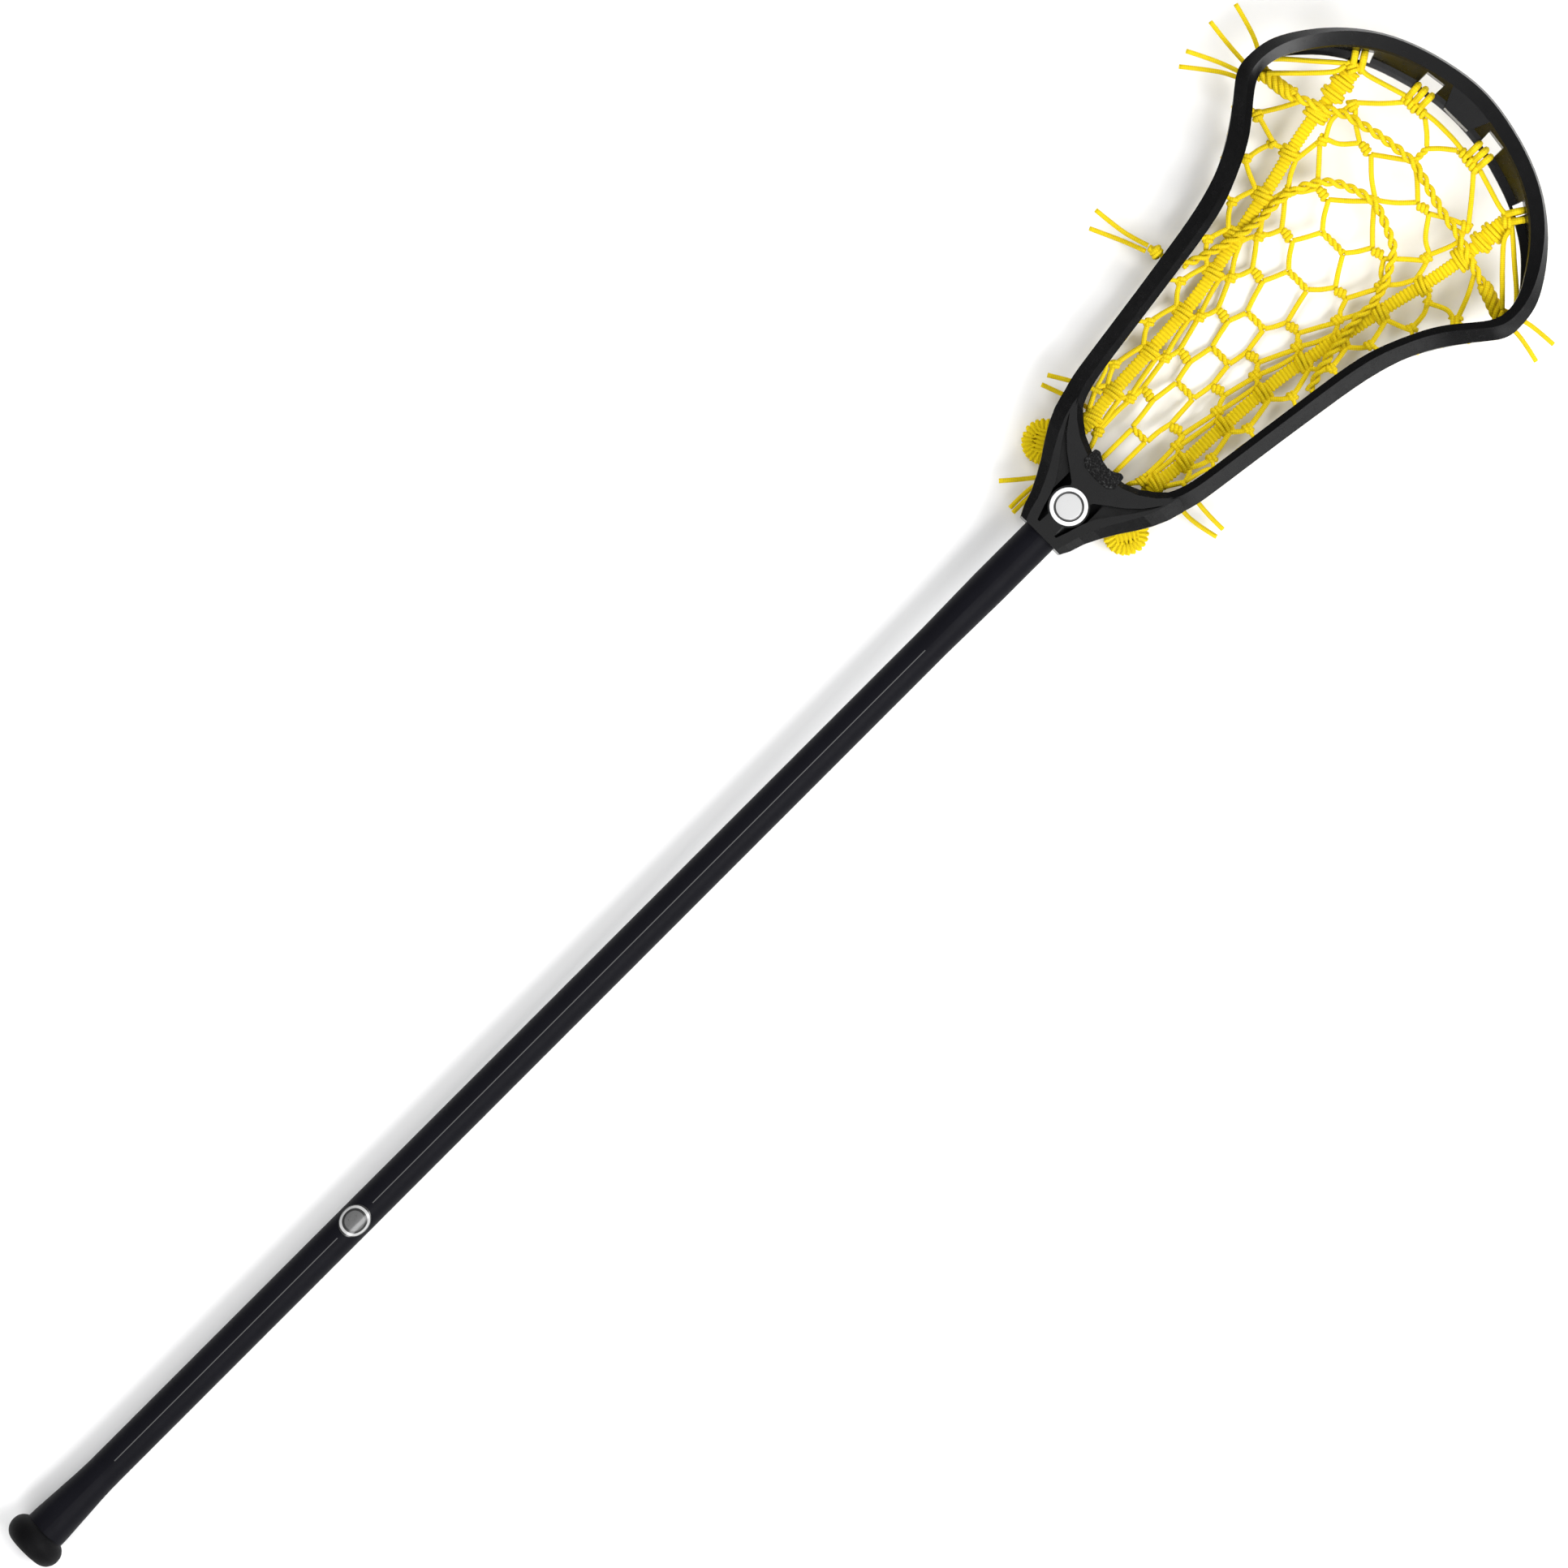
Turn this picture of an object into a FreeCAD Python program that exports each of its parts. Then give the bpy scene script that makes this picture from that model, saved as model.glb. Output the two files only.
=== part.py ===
import FreeCAD, Part
import math
import os

Vector = FreeCAD.Vector

# Lacrosse stick, lying on its back with the open face of its head up. Millimetres.
# X runs along the shaft from the middle of the butt's flat face to the scoop.
# +Y is the stick's left side and +Z is the side that the pocket opens to.

# ---------------------------------------------------------------- driving dimensions
SHAFT_R = 9.45
SHAFT_WALL = 1.4
SHAFT_END_X = 798.0
FLARE_X = (15.0, 30.0, 42.0, 64.0)
FLARE_R = (11.8, 11.0, 10.2, SHAFT_R)
SWELL_X = (682.0, 702.0, 722.0)
SWELL_R = (SHAFT_R, 9.8, 10.15)
KNOB_R = 16.3
FACE_R = 9.0
SPIGOT_GAP = 0.12
SPIGOT_END_X = 42.0
WAIST_X = 9.0

NECK_X = 760.5
SOCKET_R = SWELL_R[-1] + 0.06
SOCKET_END_X = 799.0
SCREW_X = 772.0
SCREW_R = 1.95
SCREW_HEAD_R = 3.9
BADGE_X = 781.7
BADGE_R = 10.3
BADGE_THICK = 0.9
SHAFT_BADGE_X = 247.8
SHAFT_BADGE_R = 9.4
STRING_HOLE_R = 1.9

CORD_R = 1.3
RUNNER_WIDTH = 7.5
NET_THICK = 2.4
SHOOTER_R = 2.3
SCOOP_LACE_R = 1.45
SIDE_LACE_R = 1.4
KNOT_R = 4.2
TAIL_GAP = 0.45
TOGGLE_R = 13.3
TOGGLE_HEIGHT = 9.5
TOGGLE_BACK_Z = -27.5
TOGGLE_PLACES = {"toggle_left": (798.5, 33.5), "toggle_right": (795.0, -31.0)}

# The half ring of the head, from the throat round to the middle of the scoop. Each station has
# its outer point, its inner point, the top and bottom of the wall, and how much of its section
# is the scoop's: 0 on the sidewall and 1 on the scoop.
#        outer X, Y       inner X, Y      top   bottom scoop
RING = [
    ((820.0, 43.6), (820.0, 29.0), 15.0, -17.0, 0.00),
    ((830.0, 46.8), (830.0, 34.5), 15.8, -18.6, 0.00),
    ((846.0, 49.5), (846.0, 38.3), 16.5, -20.0, 0.00),
    ((866.0, 52.3), (866.0, 41.2), 17.4, -21.4, 0.00),
    ((890.0, 55.7), (890.0, 44.5), 18.4, -22.5, 0.00),
    ((914.0, 59.3), (914.5, 47.9), 19.0, -23.0, 0.00),
    ((934.0, 62.6), (935.5, 51.1), 19.5, -23.0, 0.00),
    ((950.0, 66.3), (952.5, 55.0), 19.8, -22.6, 0.00),
    ((964.0, 71.1), (968.4, 61.2), 20.0, -21.6, 0.00),
    ((982.0, 80.8), (987.5, 71.2), 20.0, -19.5, 0.00),
    ((997.5, 92.5), (1003.7, 84.0), 20.0, -16.4, 0.05),
    ((1009.5, 100.6), (1014.0, 89.6), 20.0, -13.2, 0.15),
    ((1020.0, 101.4), (1020.5, 89.9), 20.0, -10.0, 0.25),
    ((1030.5, 99.6), (1030.0, 86.6), 20.0, -6.5, 0.40),
    ((1042.0, 93.9), (1036.3, 82.0), 20.1, -3.6, 0.60),
    ((1054.0, 85.0), (1045.0, 74.0), 20.4, -1.4, 0.80),
    ((1066.0, 73.0), (1054.0, 62.0), 20.8, 0.4, 0.95),
    ((1076.5, 58.0), (1060.3, 49.5), 21.2, 1.6, 1.00),
    ((1084.5, 40.0), (1065.4, 34.0), 21.6, 2.4, 1.00),
    ((1089.8, 20.0), (1069.3, 17.0), 21.9, 2.9, 1.00),
    ((1092.0, 0.0), (1070.5, 0.0), 22.0, 3.0, 1.00),
]

# The throat block: X, half width, top, bottom and the width of its edge facet.
THROAT = [
    (760.5, 14.5, 13.6, -13.6, 3.6),
    (766.0, 17.4, 13.7, -13.7, 4.4),
    (774.0, 20.0, 13.9, -13.8, 5.0),
    (782.0, 24.0, 14.1, -14.0, 5.6),
    (790.0, 28.6, 14.3, -14.4, 6.2),
    (798.0, 34.0, 14.6, -15.0, 6.8),
    (806.0, 38.8, 14.9, -15.8, 7.2),
    (814.0, 42.4, 15.1, -16.6, 7.5),
    (822.0, 44.7, 15.2, -17.3, 7.6),
    (830.0, 45.9, 14.9, -17.7, 7.7),
]
# The edge of the opening in the throat, from its middle outwards: X, Y.
OPENING_EDGE = [(810.0, 0.0), (811.0, 12.0), (814.5, 20.0), (820.0, 27.4), (825.0, 32.6), (830.2, 39.2)]

# Heights of the net's middle line, X and Z, and of its outer edges.
NET_MIDDLE = [
    (812, -7), (836, -17), (870, -26), (905, -30), (950, -29), (990, -22), (1025, -11), (1052, -1), (1070, 4),
]
NET_EDGE = [
    (812, -10), (836, -15), (870, -18.5), (905, -20), (950, -20), (990, -15.5), (1025, -5.5), (1052, 1),
    (1070, 5),
]
# The runner's middle line: X, Y.
RUNNER = [
    (822.0, 23.6), (834, 25.7), (852, 27.0), (872, 28.0), (892, 29.2), (912, 31.2), (930, 34.6), (948, 38.2),
    (966, 42.0), (984, 46.0), (1000, 50.0), (1016, 53.3), (1032, 55.2), (1043.5, 56.2),
]


# ---------------------------------------------------------------- helpers
def between(table, x):
    """The value at x of a table of (x, value) points."""
    for (x0, v0), (x1, v1) in zip(table, table[1:]):
        if x <= x1:
            break
    share = (x - x0) / (x1 - x0)
    return v0 + (v1 - v0) * share


def net_z(x, y):
    """The height of the middle of the net's thickness."""
    middle = between(NET_MIDDLE, x)
    edge = between(NET_EDGE, x)
    half = inner_half_width(x)
    return middle + (edge - middle) * min(1.0, (y / half) ** 2)


def inner_half_width(x):
    """Half the width of the head's opening at x."""
    edge = [(inner[0], inner[1]) for _, inner, _, _, _ in RING]
    below = [(810.0, 12.0)] + edge[:13]
    return between(below, min(x, 1020.0))


def wire(points):
    corners = [Vector(*p) for p in points]
    return Part.makePolygon(corners + [corners[0]])


def prism(points, z0, z1):
    """An upright prism over a flat outline of (X, Y) points."""
    face = Part.Face(wire([(x, y, z0) for x, y in points]))
    return face.extrude(Vector(0, 0, z1 - z0))


def mirrored(shape):
    """The same shape on the other side of the stick."""
    return shape.mirror(Vector(0, 0, 0), Vector(0, 1, 0))


def other_side(points):
    return [(p[0], -p[1]) + tuple(p[2:]) for p in points]


def tube_along(points, radius, name):
    """A round cord along straight runs joined by tangent arcs as large as the runs allow."""
    route = [Vector(*p) for p in points]
    edges = []
    radii = []
    start = route[0]
    for before, corner, after in zip(route, route[1:], route[2:]):
        back = before - corner
        ahead = after - corner
        shorter = min(back.Length, ahead.Length)
        back.normalize()
        ahead.normalize()
        turn = math.pi - back.getAngle(ahead)
        cut = 0.45 * shorter
        radii.append(cut / math.tan(turn / 2))
        first = corner + back * cut
        last = corner + ahead * cut
        middle = back + ahead
        middle.normalize()
        away = radii[-1] / math.cos(turn / 2) - radii[-1]
        edges.append(Part.LineSegment(start, first).toShape())
        edges.append(Part.Arc(first, corner + middle * away, last).toShape())
        start = last
    edges.append(Part.LineSegment(start, route[-1]).toShape())
    path = Part.Wire(edges)
    ring = Part.Wire([Part.makeCircle(radius, route[0], route[1] - route[0])])
    tube = path.makePipeShell([ring], True, False)
    expected = math.pi * radius ** 2 * path.Length
    tightest = min(radii) if radii else 0
    ratio = tube.Volume / expected
    print(f"{name}: length {path.Length:.1f}, tightest arc {tightest:.1f}, volume ratio {ratio:.3f}")
    return tube


def sheet_solid(rows, thick):
    """A thin closed solid whose middle surface passes through rows of (X, Y, Z) points."""
    count = len(rows[0])
    top = [[Vector(x, y, z + thick / 2) for x, y, z in row] for row in rows]
    bottom = [[Vector(x, y, z - thick / 2) for x, y, z in row] for row in rows]
    faces = []

    def quad(a, b, c, d):
        for corners in ((a, b, c), (a, c, d)):
            faces.append(Part.Face(Part.makePolygon(list(corners) + [corners[0]])))

    for i in range(len(rows) - 1):
        for j in range(count - 1):
            quad(top[i][j], top[i + 1][j], top[i + 1][j + 1], top[i][j + 1])
            quad(bottom[i][j], bottom[i][j + 1], bottom[i + 1][j + 1], bottom[i + 1][j])
        for j, sign in ((0, 1), (count - 1, -1)):
            side = (top[i][j], bottom[i][j], bottom[i + 1][j], top[i + 1][j])
            quad(*side[::sign])
    for i, sign in ((0, -1), (len(rows) - 1, 1)):
        for j in range(count - 1):
            side = (top[i][j], bottom[i][j], bottom[i][j + 1], top[i][j + 1])
            quad(*side[::sign])
    solid = Part.makeSolid(Part.makeShell(faces))
    if solid.Volume < 0:
        solid.reverse()
    return solid


# ---------------------------------------------------------------- shaft
def curve(points):
    line = Part.BSplineCurve()
    along = Vector(1, 0, 0)
    line.interpolate([Vector(x, 0, r) for x, r in points], InitialTangent=along, FinalTangent=along)
    return line


def shaft_profile(inset):
    """The flare, the straight grip and the swell, as edges from the butt to the head end."""
    flare_points = [(x, r - inset) for x, r in zip(FLARE_X, FLARE_R)]
    swell_points = [(x, r - inset) for x, r in zip(SWELL_X, SWELL_R)]
    flare = Part.BSplineCurve()
    flare.interpolate([Vector(x, 0, r) for x, r in flare_points])
    grip = Part.LineSegment(Vector(FLARE_X[-1], 0, SHAFT_R - inset), Vector(SWELL_X[0], 0, SHAFT_R - inset))
    radius = SWELL_R[-1] - inset
    last = Part.LineSegment(Vector(SWELL_X[-1], 0, radius), Vector(SHAFT_END_X, 0, radius))
    return [flare.toShape(), grip.toShape(), curve(swell_points).toShape(), last.toShape()]


def shaft_tube():
    outer = shaft_profile(0)
    inner = shaft_profile(SHAFT_WALL)
    butt_end = Part.LineSegment(
        Vector(FLARE_X[0], 0, FLARE_R[0] - SHAFT_WALL), Vector(FLARE_X[0], 0, FLARE_R[0])
    ).toShape()
    head_end = Part.LineSegment(
        Vector(SHAFT_END_X, 0, SWELL_R[-1]), Vector(SHAFT_END_X, 0, SWELL_R[-1] - SHAFT_WALL)
    ).toShape()
    outline = Part.Wire([butt_end] + outer + [head_end] + inner[::-1])
    tube = Part.Face(outline).revolve(Vector(0, 0, 0), Vector(1, 0, 0), 360)
    screw_hole = Part.makeCylinder(SCREW_R + 0.05, 8, Vector(SCREW_X, 0, -13), Vector(0, 0, 1))
    return tube.cut(screw_hole)


def end_cap():
    """A crowned rubber knob, and the tapered spigot that plugs the flared end of the tube."""
    face_edge = Vector(0, 0, FACE_R)
    widest = Vector(WAIST_X, 0, KNOB_R)
    mouth = Vector(FLARE_X[0], 0, FLARE_R[0])
    crown = Part.BSplineCurve()
    crown.interpolate([face_edge, Vector(1.6, 0, 13.6), Vector(5.0, 0, 15.9), widest])
    shoulder = Part.BSplineCurve()
    shoulder.interpolate([widest, Vector(12.2, 0, 15.2), Vector(14.4, 0, 13.0), mouth])
    inset = Vector(0, 0, SHAFT_WALL + SPIGOT_GAP)
    spigot = [mouth] + [Vector(x, 0, r) - inset for x, r in zip(FLARE_X[:3], FLARE_R[:3])]
    spigot += [Vector(SPIGOT_END_X, 0, 0), Vector(0, 0, 0), face_edge]
    edges = [crown.toShape(), shoulder.toShape()]
    edges += [Part.LineSegment(a, b).toShape() for a, b in zip(spigot, spigot[1:])]
    return Part.Face(Part.Wire(edges)).revolve(Vector(0, 0, 0), Vector(1, 0, 0), 360)


def shaft_badge():
    """A thin round badge wrapped over the top of the tube."""
    around = Part.makeCylinder(SHAFT_R + 0.25, 30, Vector(SHAFT_BADGE_X - 15, 0, 0), Vector(1, 0, 0))
    inside = Part.makeCylinder(SHAFT_R + 0.02, 30, Vector(SHAFT_BADGE_X - 15, 0, 0), Vector(1, 0, 0))
    half_width = SHAFT_R * math.sin(SHAFT_BADGE_R / SHAFT_R)
    outline = Part.Ellipse(Vector(SHAFT_BADGE_X, 0, 0), SHAFT_BADGE_R, half_width).toShape()
    column = Part.Face(Part.Wire([outline])).extrude(Vector(0, 0, 20))
    return around.cut(inside).common(column)


# ---------------------------------------------------------------- head frame
def section(station):
    """The closed outline of the wall at one station of the ring."""
    (x0, y0), (x1, y1), top, bottom, scoop = station
    width = math.hypot(x1 - x0, y1 - y0)
    dx = (x1 - x0) / width
    dy = (y1 - y0) / width
    side = [
        (0.0, top - 6.5), (width * 0.66, top), (width, top - 2.6), (width - 0.4, top - 5.2),
        (5.9, top - 12.5), (5.9, bottom + 9.5), (8.4, bottom + 6.6), (8.4, bottom + 0.9),
        (7.6, bottom), (1.4, bottom), (0.6, bottom + 0.9), (0.6, bottom + 7.5), (1.3, top - 12.0),
    ]
    lip = [
        (0.0, top - 4.0), (1.4, top), (8.8, top - 1.6), (9.8, top - 3.2),
        (width - 4.6, bottom + 5.6), (width - 2.0, bottom + 4.2), (width, bottom + 3.0),
        (width, bottom + 0.9), (width - 0.9, bottom), (width - 5.5, bottom + 1.0),
        (8.0, top - 10.5), (3.4, top - 8.8), (0.5, top - 6.4),
    ]
    outline = []
    for (s_side, z_side), (s_lip, z_lip) in zip(side, lip):
        s = s_side + (s_lip - s_side) * scoop
        z = z_side + (z_lip - z_side) * scoop
        outline.append(Vector(x0 + dx * s, y0 + dy * s, z))
    return outline


def ring_solid():
    """The whole ring: a smooth edge through each corner of the sections, and faces between the edges."""
    left = [section(s) for s in RING]
    right = [[Vector(p.x, -p.y, p.z) for p in outline] for outline in left[:-1]]
    sections = left + right[::-1]
    edges = []
    for corner in range(len(sections[0])):
        line = Part.BSplineCurve()
        line.interpolate([outline[corner] for outline in sections])
        edges.append(line.toShape())
    faces = [Part.makeRuledSurface(a, b) for a, b in zip(edges, edges[1:] + edges[:1])]
    for outline in (sections[0], sections[-1]):
        faces.append(Part.Face(Part.makePolygon(outline + outline[:1])))
    shell = Part.makeShell(faces)
    shell.sewShape()
    solid = Part.makeSolid(shell)
    if solid.Volume < 0:
        solid.reverse()
    return solid


def at_ring(place):
    """The outer point, inward direction, top and bottom at a place between two stations."""
    first = RING[int(place)]
    second = RING[int(place) + 1]
    share = place - int(place)

    def mix(a, b):
        return a + (b - a) * share

    outer = Vector(mix(first[0][0], second[0][0]), mix(first[0][1], second[0][1]), 0)
    inner = Vector(mix(first[1][0], second[1][0]), mix(first[1][1], second[1][1]), 0)
    inward = inner - outer
    inward.normalize()
    return outer, inward, mix(first[2], second[2]), mix(first[3], second[3])


def along_ring(place):
    """How far along the outer edge a place on the ring is from the first station."""
    outers = [Vector(s[0][0], s[0][1], 0) for s in RING]
    whole = sum((b - a).Length for a, b in zip(outers[: int(place)], outers[1:]))
    return whole + (place - int(place)) * (outers[int(place) + 1] - outers[int(place)]).Length


def place_at(distance):
    """The place on the ring at a distance along its outer edge."""
    low = 0.0
    high = 19.9
    for _ in range(40):
        middle = (low + high) / 2
        if along_ring(middle) < distance:
            low = middle
        else:
            high = middle
    return low


def side_window(distance, length):
    """The cutter of one rounded window between the upper and the lower rail of the left wall."""
    outer, inward, top, bottom = at_ring(place_at(distance))
    run = Vector(-inward.y, inward.x, 0)
    if run.x < 0:
        run = run * -1
    high = top - 13.5
    low = bottom + 9.5
    middle = (high + low) / 2
    half = length / 2
    rise = (high - low) / 2
    lean = 0.16 * rise
    outline = [(-half + lean, -rise), (half - 2 * lean, -rise), (half - lean, rise), (-half + 2 * lean, rise)]
    corners = [outer + run * s + Vector(0, 0, middle + z) - inward * 6 for s, z in outline]
    face = Part.Face(Part.makePolygon(corners + [corners[0]]))
    block = face.extrude(inward * 22)
    upright = [e for e in block.Edges if abs(e.tangentAt(e.FirstParameter).dot(inward)) > 0.99]
    return block.makeFillet(min(3.4, rise * 0.7), upright)


def string_hole(distance, height):
    """The cutter of a string hole through the lower rail of the left wall."""
    outer, inward, _, bottom = at_ring(place_at(distance))
    start = outer - inward * 5 + Vector(0, 0, bottom + height)
    return Part.makeCylinder(STRING_HOLE_R, 24, start, inward)


def throat_section(x, half, top, bottom, facet):
    fall = facet * 0.8
    right = [(half, top - fall), (half - facet, top)]
    low = [(half - facet * 0.45, bottom), (half - 0.2, bottom + fall * 0.6)]
    points = [(y, z) for y, z in right] + [(-y, z) for y, z in right[::-1]]
    points += [(-y, z) for y, z in low[::-1]] + [(y, z) for y, z in low]
    return wire([(x, y, z) for y, z in points])


def throat_recess(z0, z1):
    """The cutter of the hollow between the outer rib, the rib along the opening and the socket."""
    outline = [
        (765.2, 5.4), (765.2, 6.9), (772.2, 9.4), (779.2, 11.4), (786.2, 14.4), (794.0, 19.9), (803.2, 26.8),
        (811.8, 32.3), (817.6, 35.2), (808.4, 28.4), (801.9, 21.6), (796.5, 14.2), (791.8, 8.0), (784.0, 4.5),
    ]
    socket_wall = Part.makeCylinder(SOCKET_R + 2.9, 60, Vector(NECK_X - 5, 0, 0), Vector(1, 0, 0))
    badge_post = Part.makeCylinder(BADGE_R + 0.9, 60, Vector(BADGE_X, 0, -30), Vector(0, 0, 1))
    return prism(outline, z0, z1).cut([socket_wall, badge_post])


def opening_flare():
    """The cutter of the facet that slopes into the opening round the throat."""
    rim = [(806.2, 0.0), (807.2, 13.0), (810.9, 21.9), (816.8, 30.2), (822.4, 35.2), (828.0, 40.2)]
    wide = rim + [(836.0, 40.2), (836.0, -40.2)] + other_side(rim[::-1])[:-1]
    narrow = OPENING_EDGE + [(838.0, 39.2), (838.0, -39.2)] + other_side(OPENING_EDGE[::-1])[:-1]
    top = wire([(x, y, 15.8) for x, y in wide])
    return Part.makeLoft([top, wire([(x, y, 12.2) for x, y in narrow])], True, True)


def scoop_window(outline):
    wide = [(x, y, 26.0) for x, y in outline]
    cx = sum(x for x, _ in outline) / len(outline)
    cy = sum(y for _, y in outline) / len(outline)
    narrow = [(cx + (x - cx) * 0.82, cy + (y - cy) * 0.82, -6.0) for x, y in outline]
    return Part.makeLoft([wire(wide), wire(narrow)], True, True)


def head_frame(pad):
    ring = ring_solid()
    throat = Part.makeLoft([throat_section(*s) for s in THROAT], True, True)
    edge = OPENING_EDGE + [(840.0, 42.0), (840.0, -42.0)] + other_side(OPENING_EDGE[::-1])[:-1]
    throat = throat.cut(prism(edge, -40, 40))
    print(f"throat block with its opening: {throat.Volume / 1000:.2f} cm3")
    throat = throat.cut(opening_flare())
    print(f"throat block with its opening's facet: {throat.Volume / 1000:.2f} cm3")
    head = ring.fuse(throat)
    # the plateau in the middle of the scoop
    plan = prism([(1084.0, 14.6), (1070.6, 8.6), (1070.6, -8.6), (1084.0, -14.6)], 0.0, 30.0)
    rise = ((1084.0, 20.3), (1070.6, 19.4), (1070.6, 3.3), (1075.0, 4.6), (1084.0, 12.5))
    profile = Part.Face(wire([(x, -20.0, z) for x, z in rise]))
    head = head.fuse(plan.common(profile.extrude(Vector(0, 40, 0))))
    cutters = []
    for distance, length in ((31, 24), (59, 26), (88, 26), (117, 26), (146, 25), (174, 23)):
        cutters.append(side_window(distance, length))
    for k in range(15):
        cutters.append(string_hole(19.0 + k * 13.6, 4.0))
    cutters.append(throat_recess(3.0, 18.0))
    cutters.append(throat_recess(-20.0, -3.0))
    cutters.append(scoop_window([(1071.6, 16.6), (1079.6, 16.6), (1077.8, 28.6), (1070.0, 29.0)]))
    cutters.append(scoop_window([(1060.4, 52.8), (1066.4, 55.4), (1062.0, 62.0), (1057.2, 59.4)]))
    cutters += [mirrored(c) for c in cutters]
    cutters += [tube_along(route, CORD_R + TAIL_GAP, "way out of " + name) for name, route in TAILS.items()]
    socket = Part.makeCylinder(SOCKET_R, SOCKET_END_X - NECK_X + 5, Vector(NECK_X - 5, 0, 0), Vector(1, 0, 0))
    screw_hole = Part.makeCylinder(SCREW_R + 0.05, 10, Vector(SCREW_X, 0, -18), Vector(0, 0, 1))
    counterbore = Part.makeCylinder(SCREW_HEAD_R + 0.2, 8, Vector(SCREW_X, 0, -20), Vector(0, 0, 1))
    badge_seat = Part.makeCylinder(BADGE_R + 0.1, 5, Vector(BADGE_X, 0, 13.35), Vector(0, 0, 1))
    cutters += [socket, screw_hole, counterbore, badge_seat, pad]
    head = head.cut(cutters)
    if len(head.Solids) != 1:
        print("head solids:", [round(s.Volume) for s in head.Solids])
        head = max(head.Solids, key=lambda s: s.Volume)
    return head


def head_screw():
    """A pan-headed screw with a cross recess, from the throat's back into the tube."""
    head = Part.makeCylinder(SCREW_HEAD_R, 2.2, Vector(SCREW_X, 0, -14.2), Vector(0, 0, 1))
    head = head.makeFillet(0.9, [head.Edges[2] if head.Edges[2].CenterOfMass.z < -14 else head.Edges[0]])
    shank = Part.makeCylinder(SCREW_R, 7.4, Vector(SCREW_X, 0, -12.4), Vector(0, 0, 1))
    slot = Part.makeBox(4.2, 0.9, 1.4, Vector(SCREW_X - 2.1, -0.45, -14.6))
    cross = Part.makeBox(0.9, 4.2, 1.4, Vector(SCREW_X - 0.45, -2.1, -14.6))
    return head.fuse(shank).cut([slot, cross])


def throat_badge():
    disc = Part.makeCylinder(BADGE_R, BADGE_THICK, Vector(BADGE_X, 0, 13.35), Vector(0, 0, 1))
    rims = [e for e in disc.Edges if e.CenterOfMass.z > 13.4 + BADGE_THICK / 2]
    return disc.makeChamfer(0.3, rims)


def ball_stop_pad():
    """The foam pad, with two ears at its front, set into the lip of the opening."""
    outline = [
        (802.4, 8.5), (805.0, 12.0), (813.0, 11.6), (814.0, 9.0), (811.4, 4.5), (810.6, 0.0), (811.2, -3.5),
        (813.6, -7.2), (813.0, -9.8), (805.0, -10.4), (802.4, -7.5), (801.6, 0.0),
    ]
    return prism(outline, -9.0, 16.6)


# ---------------------------------------------------------------- net
def runner():
    rows = []
    for x, y in RUNNER:
        rows.append([(x, y + side * RUNNER_WIDTH / 2, net_z(x, y)) for side in (-1, 0, 1)])
    return sheet_solid(rows, NET_THICK + 0.4)


def centre_panel():
    """The lace web between the two runners, ending short of the scoop lace."""
    columns = 9
    count = 15
    rows = []
    for i in range(count):
        share = i / (count - 1)
        row = []
        for j in range(columns):
            across = 2 * j / (columns - 1) - 1
            last = 1055.0 - 14.0 * across ** 2
            x = 815.5 + (last - 815.5) * share
            half = between(RUNNER, min(max(x, RUNNER[0][0]), RUNNER[-1][0])) - RUNNER_WIDTH / 2 - 0.6
            y = across * half
            row.append((x, y, net_z(x, y)))
        rows.append(row)
    return sheet_solid(rows, NET_THICK)


def side_panel():
    """The lace web between the left runner and the left sidewall."""
    count = 14
    rows = []
    for i in range(count):
        share = i / (count - 1)
        row = []
        for j in range(4):
            across = j / 3
            x = 842.0 + (1024.0 - 842.0) * share
            near = between(RUNNER, x) + RUNNER_WIDTH / 2 + 0.6
            far = inner_half_width(x) - 2 * SIDE_LACE_R - 1.6
            y = near + (far - near) * across
            row.append((x, y, net_z(x, y)))
        rows.append(row)
    return sheet_solid(rows, NET_THICK)


def side_lace_route():
    """Just inside the lower rail, from the throat to the corner of the scoop."""
    route = []
    for x in (846, 868, 891, 915, 938, 960, 980, 996, 1008):
        y = inner_half_width(x) - SIDE_LACE_R - 0.7
        route.append((x, y, between(NET_EDGE, x)))
    return route


SCOOP_LACE = [(1026.0, 80.5), (1037.0, 71.0), (1047.5, 61.0), (1054.5, 48.0), (1060.5, 32.0), (1063.5, 14.0)]
UPPER_SHOOTER = [
    (1018.5, 85.0), (1021.0, 73.0), (1027.0, 57.0), (1033.0, 42.0), (1037.0, 26.0), (1040.0, 9.0),
]
LOWER_SHOOTER = [
    (921.0, 42.8), (931.0, 41.6), (944.0, 39.4), (960.0, 38.0), (976.0, 37.4), (988.0, 33.5), (998.0, 27.0),
    (1006.0, 18.0), (1011.0, 6.5),
]


def over_net(points, radius):
    """The same points at the height of a cord that lies on the net."""
    lift = (NET_THICK + 0.4) / 2 + radius + 0.7
    half = [(x, y, net_z(x, y) + lift) for x, y in points]
    return half + other_side(half)[::-1]


def scoop_lace():
    half = [(x, y, net_z(x, y) + 0.6) for x, y in SCOOP_LACE]
    return tube_along(half + other_side(half)[::-1], SCOOP_LACE_R, "scoop_lace")


def toggle(x, y):
    """The coiled end of a runner, behind the throat."""
    puck = Part.makeCylinder(TOGGLE_R, TOGGLE_HEIGHT, Vector(x, y, TOGGLE_BACK_Z), Vector(0, 0, 1))
    return puck.makeFillet(3.6, puck.Edges)


def tail_knot():
    return Part.makeSphere(KNOT_R, Vector(912.0, 63.2, -19.0))


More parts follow.
